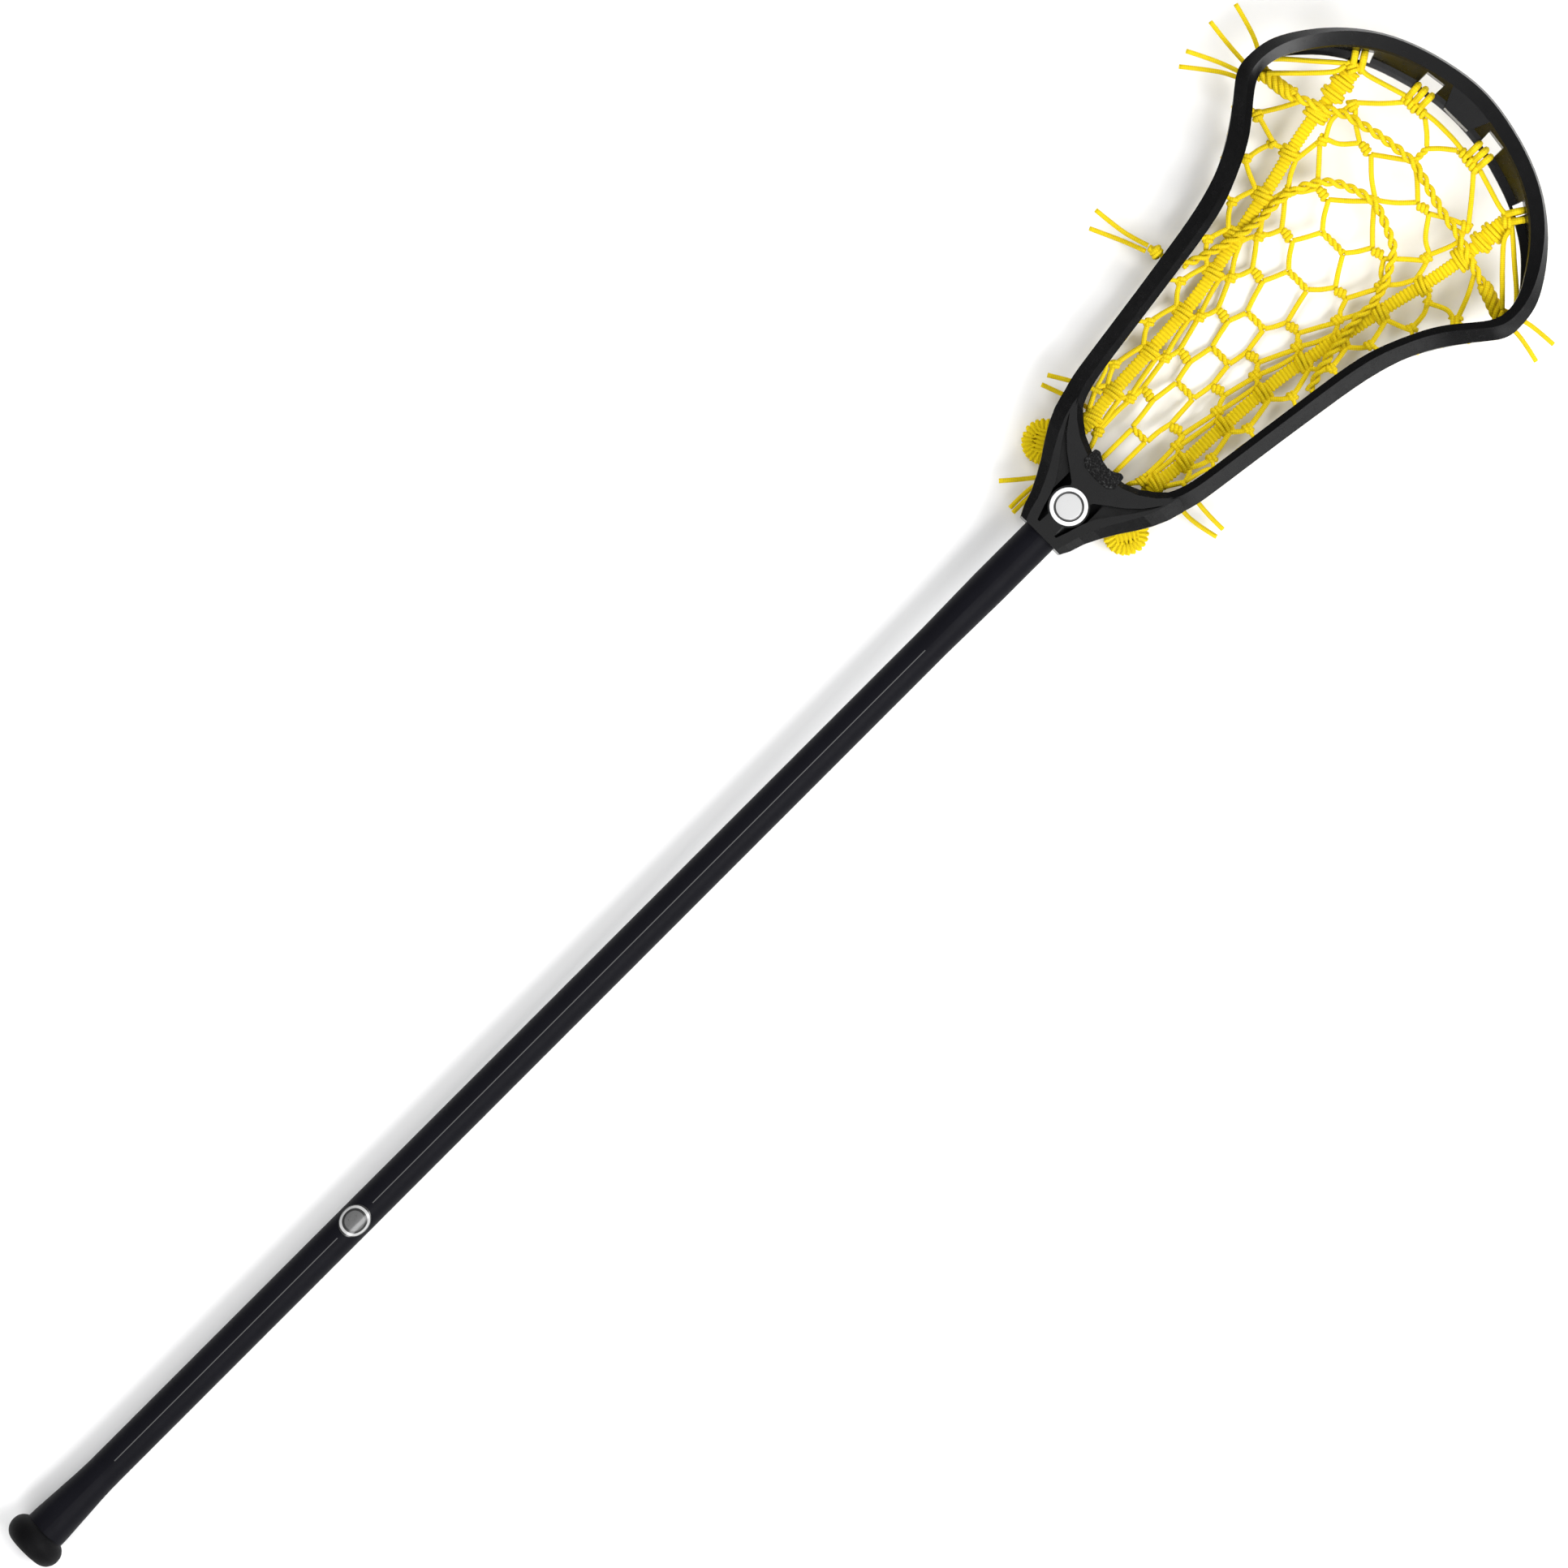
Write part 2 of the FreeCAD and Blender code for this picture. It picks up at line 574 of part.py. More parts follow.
# ---------------------------------------------------------------- free string tails
# Each starts in its string hole, or behind the throat, and ends cut off. X, Y, Z.
TAILS = {
    "tail_upper_left_1": [
        (1018.0, 88.5, -5.0), (1025.5, 100.5, -6.4), (1030.4, 112.0, -7.6), (1034.0, 126.0, -9.0),
    ],
    "tail_upper_left_2": [
        (1014.6, 88.0, -8.8), (1015.4, 101.5, -9.4), (1016.2, 115.0, -10.4), (1018.2, 129.0, -12.0),
    ],
    "tail_upper_left_3": [
        (1012.4, 90.2, -4.4), (1008.8, 102.4, -6.0), (1004.2, 114.5, -8.2), (998.0, 127.0, -10.6),
    ],
    "tail_upper_left_4": [
        (1010.4, 90.0, -9.6), (1006.4, 101.4, -12.0), (999.0, 112.5, -14.0), (990.0, 124.0, -16.4),
    ],
    "tail_middle_left_1": [
        (911.2, 68.4, -18.2), (908.0, 78.0, -18.4), (906.2, 87.5, -19.0), (905.0, 101.5, -20.4),
    ],
    "tail_middle_left_2": [
        (908.3, 67.2, -21.2), (905.2, 76.0, -21.6), (901.4, 85.0, -22.6), (896.0, 97.0, -24.4),
    ],
    "tail_lower_left_1": [
        (838.0, 30.2, -13.4), (835.0, 39.0, -14.2), (830.4, 47.8, -15.0), (824.5, 57.5, -16.0),
    ],
    "tail_lower_left_2": [
        (828.4, 26.8, -21.5), (826.4, 36.0, -22.2), (823.2, 45.0, -21.8), (819.0, 56.2, -21.0),
    ],
    "tail_throat_left_1": [
        (797.0, 14.0, -18.6), (788.5, 19.0, -18.8), (778.4, 25.5, -18.4), (766.5, 36.0, -17.4),
    ],
    "tail_throat_left_2": [
        (795.0, 12.0, -23.4), (784.6, 16.4, -22.4), (773.0, 19.0, -21.0), (760.0, 18.8, -20.0),
    ],
    "tail_throat_left_3": [
        (792.0, 17.0, -23.4), (782.6, 20.0, -22.0), (772.0, 21.9, -20.6), (760.6, 21.7, -19.6),
    ],
    "tail_upper_right_1": [
        (1019.0, -88.4, -5.0), (1022.4, -98.4, -6.2), (1024.8, -109.0, -7.4), (1025.5, -121.0, -8.8),
    ],
    "tail_upper_right_2": [
        (1015.4, -88.2, -8.8), (1016.4, -99.0, -9.6), (1015.6, -110.0, -10.8), (1013.0, -121.0, -12.4),
    ],
    "tail_lower_right_1": [
        (834.6, -33.8, -14.4), (833.4, -44.6, -15.0), (832.2, -55.5, -15.8), (832.5, -66.5, -17.0),
    ],
    "tail_lower_right_2": [
        (826.4, -33.0, -21.4), (824.2, -44.5, -22.0), (824.8, -55.6, -21.6), (827.5, -67.0, -20.8),
    ],
}


# ---------------------------------------------------------------- the assembly
def main():
    os.makedirs("parts", exist_ok=True)
    pad = ball_stop_pad()
    side_lace = side_lace_route()
    parts = {
        "shaft_tube": shaft_tube(),
        "end_cap": end_cap(),
        "shaft_badge": shaft_badge(),
        "head_frame": head_frame(pad),
        "head_screw": head_screw(),
        "throat_badge": throat_badge(),
        "ball_stop_pad": pad,
        "lace_panel_centre": centre_panel(),
        "scoop_lace": scoop_lace(),
        "sidewall_lace_left": tube_along(side_lace, SIDE_LACE_R, "sidewall_lace_left"),
        "sidewall_lace_right": tube_along(other_side(side_lace), SIDE_LACE_R, "sidewall_lace_right"),
        "tail_knot_left": tail_knot(),
    }
    for name, route in (("shooting_string_upper", UPPER_SHOOTER), ("shooting_string_lower", LOWER_SHOOTER)):
        parts[name] = tube_along(over_net(route, SHOOTER_R), SHOOTER_R, name)
    for name, (x, y) in TOGGLE_PLACES.items():
        parts[name] = toggle(x, y)
    for name, make in (("runner", runner), ("lace_panel", side_panel)):
        left = make()
        parts[name + "_left"] = left
        parts[name + "_right"] = mirrored(left)
    for name, route in TAILS.items():
        parts[name] = tube_along(route, CORD_R, name)
    for name, shape in parts.items():
        if not shape.isValid() or len(shape.Solids) != 1:
            print("check", name, "valid", shape.isValid(), "solids", len(shape.Solids))
        shape.exportStep(f"parts/{name}.step")
        print(f"{name}: {shape.Volume / 1000:.2f} cm3")


main()
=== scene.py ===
import math
import random

import bmesh
import bpy
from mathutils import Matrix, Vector


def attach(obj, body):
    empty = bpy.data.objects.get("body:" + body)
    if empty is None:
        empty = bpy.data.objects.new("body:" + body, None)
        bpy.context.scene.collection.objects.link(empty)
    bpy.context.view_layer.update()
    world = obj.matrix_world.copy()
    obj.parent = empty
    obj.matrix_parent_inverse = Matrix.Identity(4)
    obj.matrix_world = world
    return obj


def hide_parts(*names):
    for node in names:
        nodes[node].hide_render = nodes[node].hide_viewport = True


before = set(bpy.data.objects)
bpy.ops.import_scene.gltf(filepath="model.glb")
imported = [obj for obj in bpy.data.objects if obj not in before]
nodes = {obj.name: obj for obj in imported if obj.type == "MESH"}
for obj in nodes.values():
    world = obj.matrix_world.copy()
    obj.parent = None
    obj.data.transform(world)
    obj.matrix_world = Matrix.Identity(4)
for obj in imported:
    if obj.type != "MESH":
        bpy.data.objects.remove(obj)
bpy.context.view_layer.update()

# A lacrosse stick on its back. Lengths are in millimetres unless a comment says otherwise, and MM turns
# them into metres. X runs along the shaft to the scoop, +Y is the stick's left and +Z is up.
MM = 0.001
LEFT, RIGHT = 0, 1
HANDS = ("left", "right")
SIGNS = (1, -1)
dice = random.Random(7)

CORD_R = 1.4
KNOT_R = 1.3
TAIL_R = 1.3
LACE_R = 1.15
SMALL_R = 1.2
RUNNER_WIDTH = 7.6
RUNNER_THICK = 2.7
RIB_PITCH = 2.3
RIB_SCALLOP = 0.8

TUBE_SIDES = 8
TAIL_SIDES = 12
WRAP_SIDES = 7
WRAP_STEPS = 14
STRAP_SIDES = 14
# How much cord one unit of the strand layer stands for.
STRAND_UNIT = 10

# The height of the net along its middle and along its edges: X and Z.
NET_MIDDLE = [
    (812, -7), (836, -17), (870, -26), (905, -30), (950, -29),
    (990, -22), (1025, -11), (1052, -1), (1070, 4),
]
NET_EDGE = [
    (812, -10), (836, -15), (870, -18.5), (905, -20), (950, -20),
    (990, -15.5), (1025, -5.5), (1052, 1), (1070, 5),
]
# The lower rail of the left sidewall: outer X, Y, inner X, Y and the rail's bottom.
RAIL = [
    (820.0, 43.6, 820.0, 29.0, -17.0), (830.0, 46.8, 830.0, 34.5, -18.6), (846.0, 49.5, 846.0, 38.3, -20.0),
    (866.0, 52.3, 866.0, 41.2, -21.4), (890.0, 55.7, 890.0, 44.5, -22.5), (914.0, 59.3, 914.5, 47.9, -23.0),
    (934.0, 62.6, 935.5, 51.1, -23.0), (950.0, 66.3, 952.5, 55.0, -22.6), (964.0, 71.1, 968.4, 61.2, -21.6),
    (982.0, 80.8, 987.5, 71.2, -19.5), (997.5, 92.5, 1003.7, 84.0, -16.4),
    (1009.5, 100.6, 1014.0, 89.6, -13.2), (1020.0, 101.4, 1020.5, 89.9, -10.0),
]
RAIL_END_X = 1020.0
# Half the net's width: X and Y.
NET_HALF = [(810.0, 12.0)] + [(x, y) for _, _, x, y, _ in RAIL]
# The middle line of the left runner, and of its thicker top end: X and Y.
RUNNER = [
    (822.0, 23.6), (834, 25.7), (852, 27.0), (872, 28.0), (892, 29.2), (912, 31.2), (930, 34.6), (948, 38.2),
    (966, 42.0), (984, 46.0), (1000, 50.0), (1016, 53.3), (1032, 55.2), (1046, 56.6),
]
RUNNER_TOP = [(1030, 55.0), (1054, 57.4)]


def between(table, x):
    """The value at x of a table of (x, value) points."""
    for (x0, v0), (x1, v1) in zip(table, table[1:]):
        if x <= x1:
            break
    return v0 + (v1 - v0) * (x - x0) / (x1 - x0)


def net_z(x, y):
    """The height of the middle of the net's thickness."""
    half = between(NET_HALF, min(x, RAIL_END_X))
    middle = between(NET_MIDDLE, x)
    return middle + (between(NET_EDGE, x) - middle) * min(1.0, (y / half) ** 2)


def on_net(x, y, lift=0.0):
    return Vector((x, y, net_z(x, y) + lift))


# ---------------------------------------------------------------- camera
# The view's width and the camera's target are in metres.
VIEW_WIDTH = 0.8308
LENS = 200.0
SENSOR = 36.0
TARGET = Vector((0.5717, 0.0028, 0.0))


def make_camera():
    """A camera straight above the stick, turned so that the stick runs up to the right."""
    data = bpy.data.cameras.new("camera")
    data.lens = LENS
    data.sensor_width = SENSOR
    data.clip_end = 20.0
    camera = bpy.data.objects.new("camera", data)
    camera.location = TARGET + Vector((0, 0, VIEW_WIDTH * LENS / SENSOR))
    camera.rotation_euler = (0, 0, math.radians(-45))
    bpy.context.scene.collection.objects.link(camera)
    bpy.context.scene.camera = camera


make_camera()


# ---------------------------------------------------------------- materials
class Nodes:
    """A short way to write a material's nodes."""

    def __init__(self, name):
        self.material = bpy.data.materials.new(name)
        self.material.use_nodes = True
        self.tree = self.material.node_tree
        self.shader = self.tree.nodes["Principled BSDF"]

    def link(self, source, target):
        self.tree.links.new(source, target)

    def put(self, target, value):
        if isinstance(value, bpy.types.NodeSocket):
            self.link(value, target)
        else:
            target.default_value = value

    def math(self, operation, a, b=0.0):
        node = self.tree.nodes.new("ShaderNodeMath")
        node.operation = operation
        self.put(node.inputs[0], a)
        self.put(node.inputs[1], b)
        return node.outputs[0]

    def noise(self, scale, detail=3.0):
        node = self.tree.nodes.new("ShaderNodeTexNoise")
        node.inputs["Scale"].default_value = scale
        node.inputs["Detail"].default_value = detail
        self.link(self.object_point(), node.inputs["Vector"])
        return node.outputs["Fac"]

    def cells(self, scale):
        node = self.tree.nodes.new("ShaderNodeTexVoronoi")
        node.inputs["Scale"].default_value = scale
        self.link(self.object_point(), node.inputs["Vector"])
        return node.outputs["Distance"]

    def object_point(self):
        return self.tree.nodes.new("ShaderNodeTexCoord").outputs["Object"]

    def axes(self, vector):
        node = self.tree.nodes.new("ShaderNodeSeparateXYZ")
        self.link(vector, node.inputs[0])
        return node.outputs

    def strand_point(self):
        """How far along its strand a point is, in strand units, and how far round it, from 0 to 1."""
        node = self.tree.nodes.new("ShaderNodeUVMap")
        node.uv_map = "strand"
        return node.outputs[0]

    def blend(self, share, low, high):
        node = self.tree.nodes.new("ShaderNodeMix")
        node.data_type = "RGBA"
        self.put(node.inputs["Factor"], share)
        self.put(node.inputs["A"], low)
        self.put(node.inputs["B"], high)
        return node.outputs["Result"]

    def steps(self, value, stops, constant=False):
        node = self.tree.nodes.new("ShaderNodeValToRGB")
        node.color_ramp.interpolation = "CONSTANT" if constant else "LINEAR"
        ramp = node.color_ramp.elements
        while len(ramp) < len(stops):
            ramp.new(0.5)
        for element, (position, colour) in zip(ramp, stops):
            element.position = position
            element.color = colour
        self.link(value, node.inputs[0])
        return node.outputs[0]

    def scaled(self, value, low, high):
        node = self.tree.nodes.new("ShaderNodeMapRange")
        node.inputs["To Min"].default_value = low
        node.inputs["To Max"].default_value = high
        self.link(value, node.inputs["Value"])
        return node.outputs[0]

    def woven(self, one, other):
        """The product of two waves, from 0 to 1."""
        return self.math("MULTIPLY", self.math("ADD", self.math("MULTIPLY", one, other), 1.0), 0.5)

    def bump(self, height, depth, strength=1.0):
        node = self.tree.nodes.new("ShaderNodeBump")
        node.inputs["Strength"].default_value = strength
        node.inputs["Distance"].default_value = depth * MM
        self.link(height, node.inputs["Height"])
        self.link(node.outputs[0], self.shader.inputs["Normal"])

    def specular(self, value):
        self.shader.inputs["Specular IOR Level"].default_value = value

    def set(self, **values):
        for name, value in values.items():
            self.put(self.shader.inputs[name.replace("_", " ")], value)


def grey(value, blue=0.0):
    return (value, value, value + blue, 1.0)


# The pale line along the top of the shaft: half its width, and its two stretches in X.
LINE_HALF = 0.28
LINE_STRETCHES = ((68.2, 235.0), (261.3, 674.5))


def shaft_material():
    """Satin black paint with a fine pale line on top, in two stretches either side of the badge."""
    m = Nodes("satin_black_tube")
    x, y, z = m.axes(m.object_point())[0:3]
    base = m.blend(m.noise(60.0), grey(0.0034, 0.0016), grey(0.0054, 0.0024))
    on_line = m.math("LESS_THAN", m.math("ABSOLUTE", y), LINE_HALF * MM)
    on_line = m.math("MULTIPLY", on_line, m.math("GREATER_THAN", z, 0.0))
    inside = []
    for start, end in LINE_STRETCHES:
        after = m.math("GREATER_THAN", x, start * MM)
        inside.append(m.math("MULTIPLY", after, m.math("LESS_THAN", x, end * MM)))
    painted = m.math("MULTIPLY", on_line, m.math("ADD", inside[0], inside[1]))
    m.set(Base_Color=m.blend(painted, base, grey(0.075)))
    m.set(Roughness=m.scaled(m.noise(420.0, 4.0), 0.46, 0.58))
    m.specular(0.06)
    m.bump(m.noise(2600.0, 2.0), 0.02, 0.25)
    return m.material


def head_material():
    """Moulded black nylon: satin, with faint flow marks and a fine orange-peel grain."""
    m = Nodes("moulded_black_nylon")
    flow = m.noise(38.0, 4.0)
    m.set(Base_Color=m.blend(flow, grey(0.0022), grey(0.0042, 0.0003)))
    m.set(Roughness=m.scaled(m.noise(260.0, 5.0), 0.20, 0.32))
    m.specular(0.22)
    grain = m.math("ADD", m.noise(1500.0, 3.0), m.math("MULTIPLY", flow, 0.6))
    m.bump(grain, 0.025, 0.25)
    return m.material


def rubber_material():
    """Matt black rubber with a fine grain."""
    m = Nodes("black_rubber")
    m.set(Base_Color=m.blend(m.noise(90.0, 5.0), grey(0.0018), grey(0.0036, 0.0008)))
    m.set(Roughness=m.scaled(m.noise(700.0, 3.0), 0.5, 0.7))
    m.specular(0.08)
    m.bump(m.noise(1800.0, 4.0), 0.08, 0.5)
    return m.material


def foam_material():
    """Open black foam, painted pale on its raised cell edges as a painted highlight and darker in the pits as
    painted shade.
    """
    m = Nodes("open_cell_foam")
    cells = m.cells(1100.0)
    # Painted highlight and shade: the colour is pale on the raised cell edges, where the bump is high, and
    # near black in the pits.
    painted_cell_light = [(0.0, grey(0.003)), (0.55, grey(0.006)), (0.8, grey(0.02)), (1.0, grey(0.06))]
    m.set(Base_Color=m.steps(cells, painted_cell_light))
    m.set(Roughness=m.scaled(m.noise(500.0), 0.8, 0.98))
    m.specular(0.15)
    m.bump(cells, 0.5, 0.9)
    return m.material


# A badge's middle in X and its radius.
THROAT_BADGE_X = 781.7
THROAT_BADGE_R = 10.3
SHAFT_BADGE_X = 247.8
SHAFT_BADGE_R = 9.4
# The radius that turns an angle round the shaft into a distance across its badge.
WRAP_R = 9.6
# A badge's plain bands: where each starts, as a share of the radius, and how light it is.
THROAT_BANDS = [(0.0, 0.42), (0.67, 0.010), (0.79, 0.80), (0.985, 0.49)]
SHAFT_BANDS = [(0.0, 0.08), (0.58, 0.006), (0.73, 0.38), (0.89, 0.006)]


def badge_material(name, centre_x, radius, wrapped, bands):
    """Plain grey rings round the badge's middle, slightly worn, under a thin clear coat."""
    m = Nodes(name)
    x, y, z = m.axes(m.object_point())[0:3]
    along = m.math("SUBTRACT", x, centre_x * MM)
    across = m.math("MULTIPLY", m.math("ARCTAN2", y, z), WRAP_R * MM) if wrapped else y
    away = m.math("SQRT", m.math("ADD", m.math("MULTIPLY", along, along), m.math("MULTIPLY", across, across)))
    share = m.math("DIVIDE", away, radius * MM)
    face = m.steps(share, [(start, grey(value)) for start, value in bands], constant=True)
    worn = m.noise(900.0, 4.0)
    m.set(Base_Color=m.blend(m.math("MULTIPLY", worn, 0.10), face, grey(0.30)))
    m.set(Roughness=m.scaled(worn, 0.22, 0.38))
    m.shader.inputs["Coat Weight"].default_value = 0.2
    m.bump(m.noise(2400.0, 2.0), 0.02, 0.3)
    return m.material


def screw_material():
    """Dark zinc plate."""
    m = Nodes("dark_zinc_screw")
    m.set(Base_Color=m.blend(m.noise(800.0), grey(0.05), grey(0.11)), Metallic=0.9)
    m.set(Roughness=m.scaled(m.noise(1500.0), 0.28, 0.5))
    m.bump(m.noise(3000.0), 0.02, 0.4)
    return m.material


# The first yellow is the cord's yellow in painted shade, for the hollows of the braid and between the strap's
# ribs; the last is a paler yellow for random blotches.
YELLOW_IN_SHADE = (0.50, 0.33, 0.001, 1.0)
YELLOW = (0.80, 0.60, 0.003, 1.0)
YELLOW_PALE = (0.88, 0.71, 0.015, 1.0)
# Pitches along the cord and the strap, and how many yarns lie round a cord or across a strap.
BRAID_PITCH = 2.1
BRAID_YARNS = 4
PICK_PITCH = 1.15
STRAP_YARNS = 11


def cord_material():
    """Braided polyester: two sets of yarns that cross round the cord, with a little fuzz. Its colour is
    painted darker in the hollows between the yarns, as painted shade.
    """
    m = Nodes("braided_yellow_cord")
    along, around = m.axes(m.strand_point())[0:2]
    turns = m.math("MULTIPLY", along, 2 * math.pi * STRAND_UNIT / BRAID_PITCH)
    lean = m.math("MULTIPLY", around, 2 * math.pi * BRAID_YARNS)
    one = m.math("SINE", m.math("ADD", turns, lean))
    other = m.math("SINE", m.math("SUBTRACT", turns, lean))
    weave = m.woven(one, other)
    # Painted shade: the colour is darker where the weave is low, in the hollows between the yarns.
    shade = m.blend(weave, YELLOW_IN_SHADE, YELLOW)
    m.set(Base_Color=m.blend(m.math("MULTIPLY", m.noise(45.0, 5.0), 0.55), shade, YELLOW_PALE))
    m.set(Roughness=m.scaled(m.noise(900.0), 0.62, 0.85))
    m.specular(0.2)
    m.bump(m.math("ADD", weave, m.math("MULTIPLY", m.noise(3000.0), 0.5)), 0.28, 0.8)
    return m.material


def runner_material():
    """Tightly woven strap: fine yarns run over the ribs, which are in the mesh. Its colour is painted darker
    between the ribs and in the hollows of the weave, as painted shade.
    """
    m = Nodes("woven_yellow_strap")
    along, across = m.axes(m.strand_point())[0:2]
    yarns = m.math("SINE", m.math("MULTIPLY", across, 2 * math.pi * STRAP_YARNS))
    picks = m.math("SINE", m.math("MULTIPLY", along, 2 * math.pi * STRAND_UNIT / PICK_PITCH))
    weave = m.woven(yarns, picks)
    ribs = m.math("ABSOLUTE", m.math("SINE", m.math("MULTIPLY", along, math.pi * STRAND_UNIT / RIB_PITCH)))
    # Painted shade: the colour is darker between the ribs, where the strap is thinner, and in the weave's
    # hollows.
    light = m.math("MULTIPLY", m.math("POWER", ribs, 0.5), m.scaled(weave, 0.72, 1.0))
    shade = m.blend(light, YELLOW_IN_SHADE, YELLOW)
    m.set(Base_Color=m.blend(m.math("MULTIPLY", m.noise(70.0, 5.0), 0.3), shade, YELLOW_PALE))
    m.set(Roughness=m.scaled(m.noise(800.0), 0.66, 0.9))
    m.specular(0.2)
    m.bump(m.math("ADD", weave, m.math("MULTIPLY", m.noise(2600.0), 0.6)), 0.22, 0.8)
    return m.material


def floor_material():
    m = Nodes("pale_floor")
    m.set(Base_Color=m.blend(m.noise(3.0), grey(0.86), grey(0.90)), Roughness=0.9)
    return m.material


CORD = cord_material()
STRAP = runner_material()


# ---------------------------------------------------------------- tubes, wraps and straps
def nurbs(name, route):
    """A smooth spline over a route's points, in metres."""
    data = bpy.data.curves.new(name, "CURVE")
    data.dimensions = "3D"
    data.resolution_u = 10
    spline = data.splines.new("NURBS")
    spline.points.add(len(route) - 1)
    for point, place in zip(spline.points, route):
        point.co = (place[0] * MM, place[1] * MM, place[2] * MM, 1.0)
    spline.order_u = 3
    spline.use_endpoint_u = True
    return data


def spline_points(name, route):
    """The points that a bare NURBS curve over the route passes through, in millimetres."""
    curve = bpy.data.objects.new(name + "_line", nurbs(name + "_line", route))
    mesh = bpy.data.meshes.new_from_object(curve)
    points = [v.co / MM for v in mesh.vertices]
    bpy.data.objects.remove(curve)
    bpy.data.meshes.remove(mesh)
    return points


def smooth(points, step=1.3):
    """Points about every step along a Catmull-Rom curve through the given points."""
    points = [Vector(p) for p in points]
    ends = [points[0] * 2 - points[1]] + points + [points[-1] * 2 - points[-2]]
    path = []
    for a, b, c, d in zip(ends, ends[1:], ends[2:], ends[3:]):
        count = max(2, round((c - b).length / step))
        square = a * 2 - b * 5 + c * 4 - d
        cube = b * 3 - a - c * 3 + d
        for i in range(count):
            t = i / count
            path.append((b * 2 + (c - a) * t + square * t * t + cube * t ** 3) / 2)
    path.append(points[-1])
    return path


def walked(path, start=0.0):
    """How far along the path each of its points is."""
    distances = [start]
    for a, b in zip(path, path[1:]):
        distances.append(distances[-1] + (b - a).length)
    return distances


def frames(path, first_side=None):
    """Side and normal at each point of a path, turning as little as they can."""
    tangents = []
    for i in range(len(path)):
        ahead = path[min(i + 1, len(path) - 1)] - path[max(i - 1, 0)]
        tangents.append(ahead.normalized())
    side = first_side or Vector((0, 0, 1)).cross(tangents[0])
    if side.length < 0.1:
        side = Vector((0, 1, 0))
    out = []
    for tangent in tangents:
        side = (side - tangent * side.dot(tangent)).normalized()
        out.append((side, tangent.cross(side)))
    return out


def strap_outline():
    """The rounded oblong of a strap's section, from -1 to 1 both ways."""
    outline = []
    for k in range(STRAP_SIDES):
        a = 2 * math.pi * k / STRAP_SIDES
        across = math.copysign(abs(math.cos(a)) ** 0.45, math.cos(a))
        over = math.copysign(abs(math.sin(a)) ** 0.7, math.sin(a))
        outline.append((across, over))
    return outline


class Piece:
    """Collects tubes and straps into one mesh object."""

    def __init__(self, name):
        self.name = name
        self.points = []
        self.faces = []
        self.places = []

    def skin(self, rings, distances):
        """Faces between rings of points, with caps, and where each face's corners are on the strand."""
        start = len(self.points)
        count = len(rings[0])
        for ring in rings:
            self.points.extend(ring)
        for i in range(len(rings) - 1):
            here = distances[i] / STRAND_UNIT
            there = distances[i + 1] / STRAND_UNIT
            low = start + i * count
            high = low + count
            for j in range(count):
                k = (j + 1) % count
                left = j / count
                right = (j + 1) / count
                self.faces.append((low + j, low + k, high + k, high + j))
                self.places.append(((here, left), (here, right), (there, right), (there, left)))
        first = tuple(start + j for j in range(count))[::-1]
        last = tuple(start + (len(rings) - 1) * count + j for j in range(count))
        for cap, distance in ((first, distances[0]), (last, distances[-1])):
            self.faces.append(cap)
            self.places.append(tuple((distance / STRAND_UNIT, 0.5) for _ in cap))

    def tube(self, path, radius=CORD_R, sides=TUBE_SIDES):
        """A round cord along a path. Each starts at another place in the braid."""
        angles = [2 * math.pi * k / sides for k in range(sides)]
        rings = []
        for place, (side, normal) in zip(path, frames(path)):
            rings.append([place + (side * math.cos(a) + normal * math.sin(a)) * radius for a in angles])
        self.skin(rings, walked(path, dice.uniform(0, 5)))

    def strand(self, points):
        """A cord over the net through (X, Y, lift) or (X, Y) points."""
        self.tube(smooth([on_net(*p) for p in points]))

    def helix(self, path, spread, pitch, radius, phase):
        """A cord that winds round a path."""
        wound = []
        for place, distance, (side, normal) in zip(path, walked(path), frames(path)):
            a = phase + 2 * math.pi * distance / pitch
            wound.append(place + side * math.cos(a) * spread + normal * math.sin(a) * spread)
        self.tube(wound, radius)

    def pair(self, points, spread, pitch, radius=1.12):
        """Two cords twisted round each other along points."""
        path = smooth(points, 0.9)
        for phase in (0.0, math.pi):
            self.helix(path, spread, pitch, radius, phase)

    def wrap(self, centre, axis, turns, wide, high, pitch=2.3, radius=KNOT_R, hand=1):
        """Turns of cord round an axis: wide and high are the half sizes of each turn's line."""
        axis = Vector(axis).normalized()
        side = Vector((0, 0, hand)).cross(axis).normalized()
        over = axis.cross(side) * hand
        count = round(turns * WRAP_STEPS)
        path = []
        for i in range(count + 1):
            a = 2 * math.pi * turns * i / count - math.pi / 2
            forward = (i / count - 0.5) * turns * pitch
            path.append(centre + axis * forward + side * math.cos(a) * wide + over * math.sin(a) * high)
        self.tube(path, radius, WRAP_SIDES)

    def strap(self, path, width, thick, first_side):
        """A woven strap whose ribs and scalloped edges are in its shape."""
        outline = strap_outline()
        distances = walked(path)
        rings = []
        for place, distance, (side, normal) in zip(path, distances, frames(path, first_side)):
            rib = abs(math.sin(math.pi * distance / RIB_PITCH))
            half = width / 2 - RIB_SCALLOP * (1 - rib)
            depth = thick / 2 * (0.5 + 0.5 * rib)
            rings.append([place + side * across * half + normal * over * depth for across, over in outline])
        self.skin(rings, distances)

    def make(self, material, slot, *replaced):
        mesh = bpy.data.meshes.new(self.name)
        mesh.from_pydata([p * MM for p in self.points], [], self.faces)
        layer = mesh.uv_layers.new(name="strand")
        corner = 0
        for places in self.places:
            for place in places:
                layer.data[corner].uv = place
                corner += 1
        mesh.polygons.foreach_set("use_smooth", [True] * len(mesh.polygons))
        mesh.materials.append(material)
        return settle(bpy.data.objects.new(self.name, mesh), slot, *replaced)


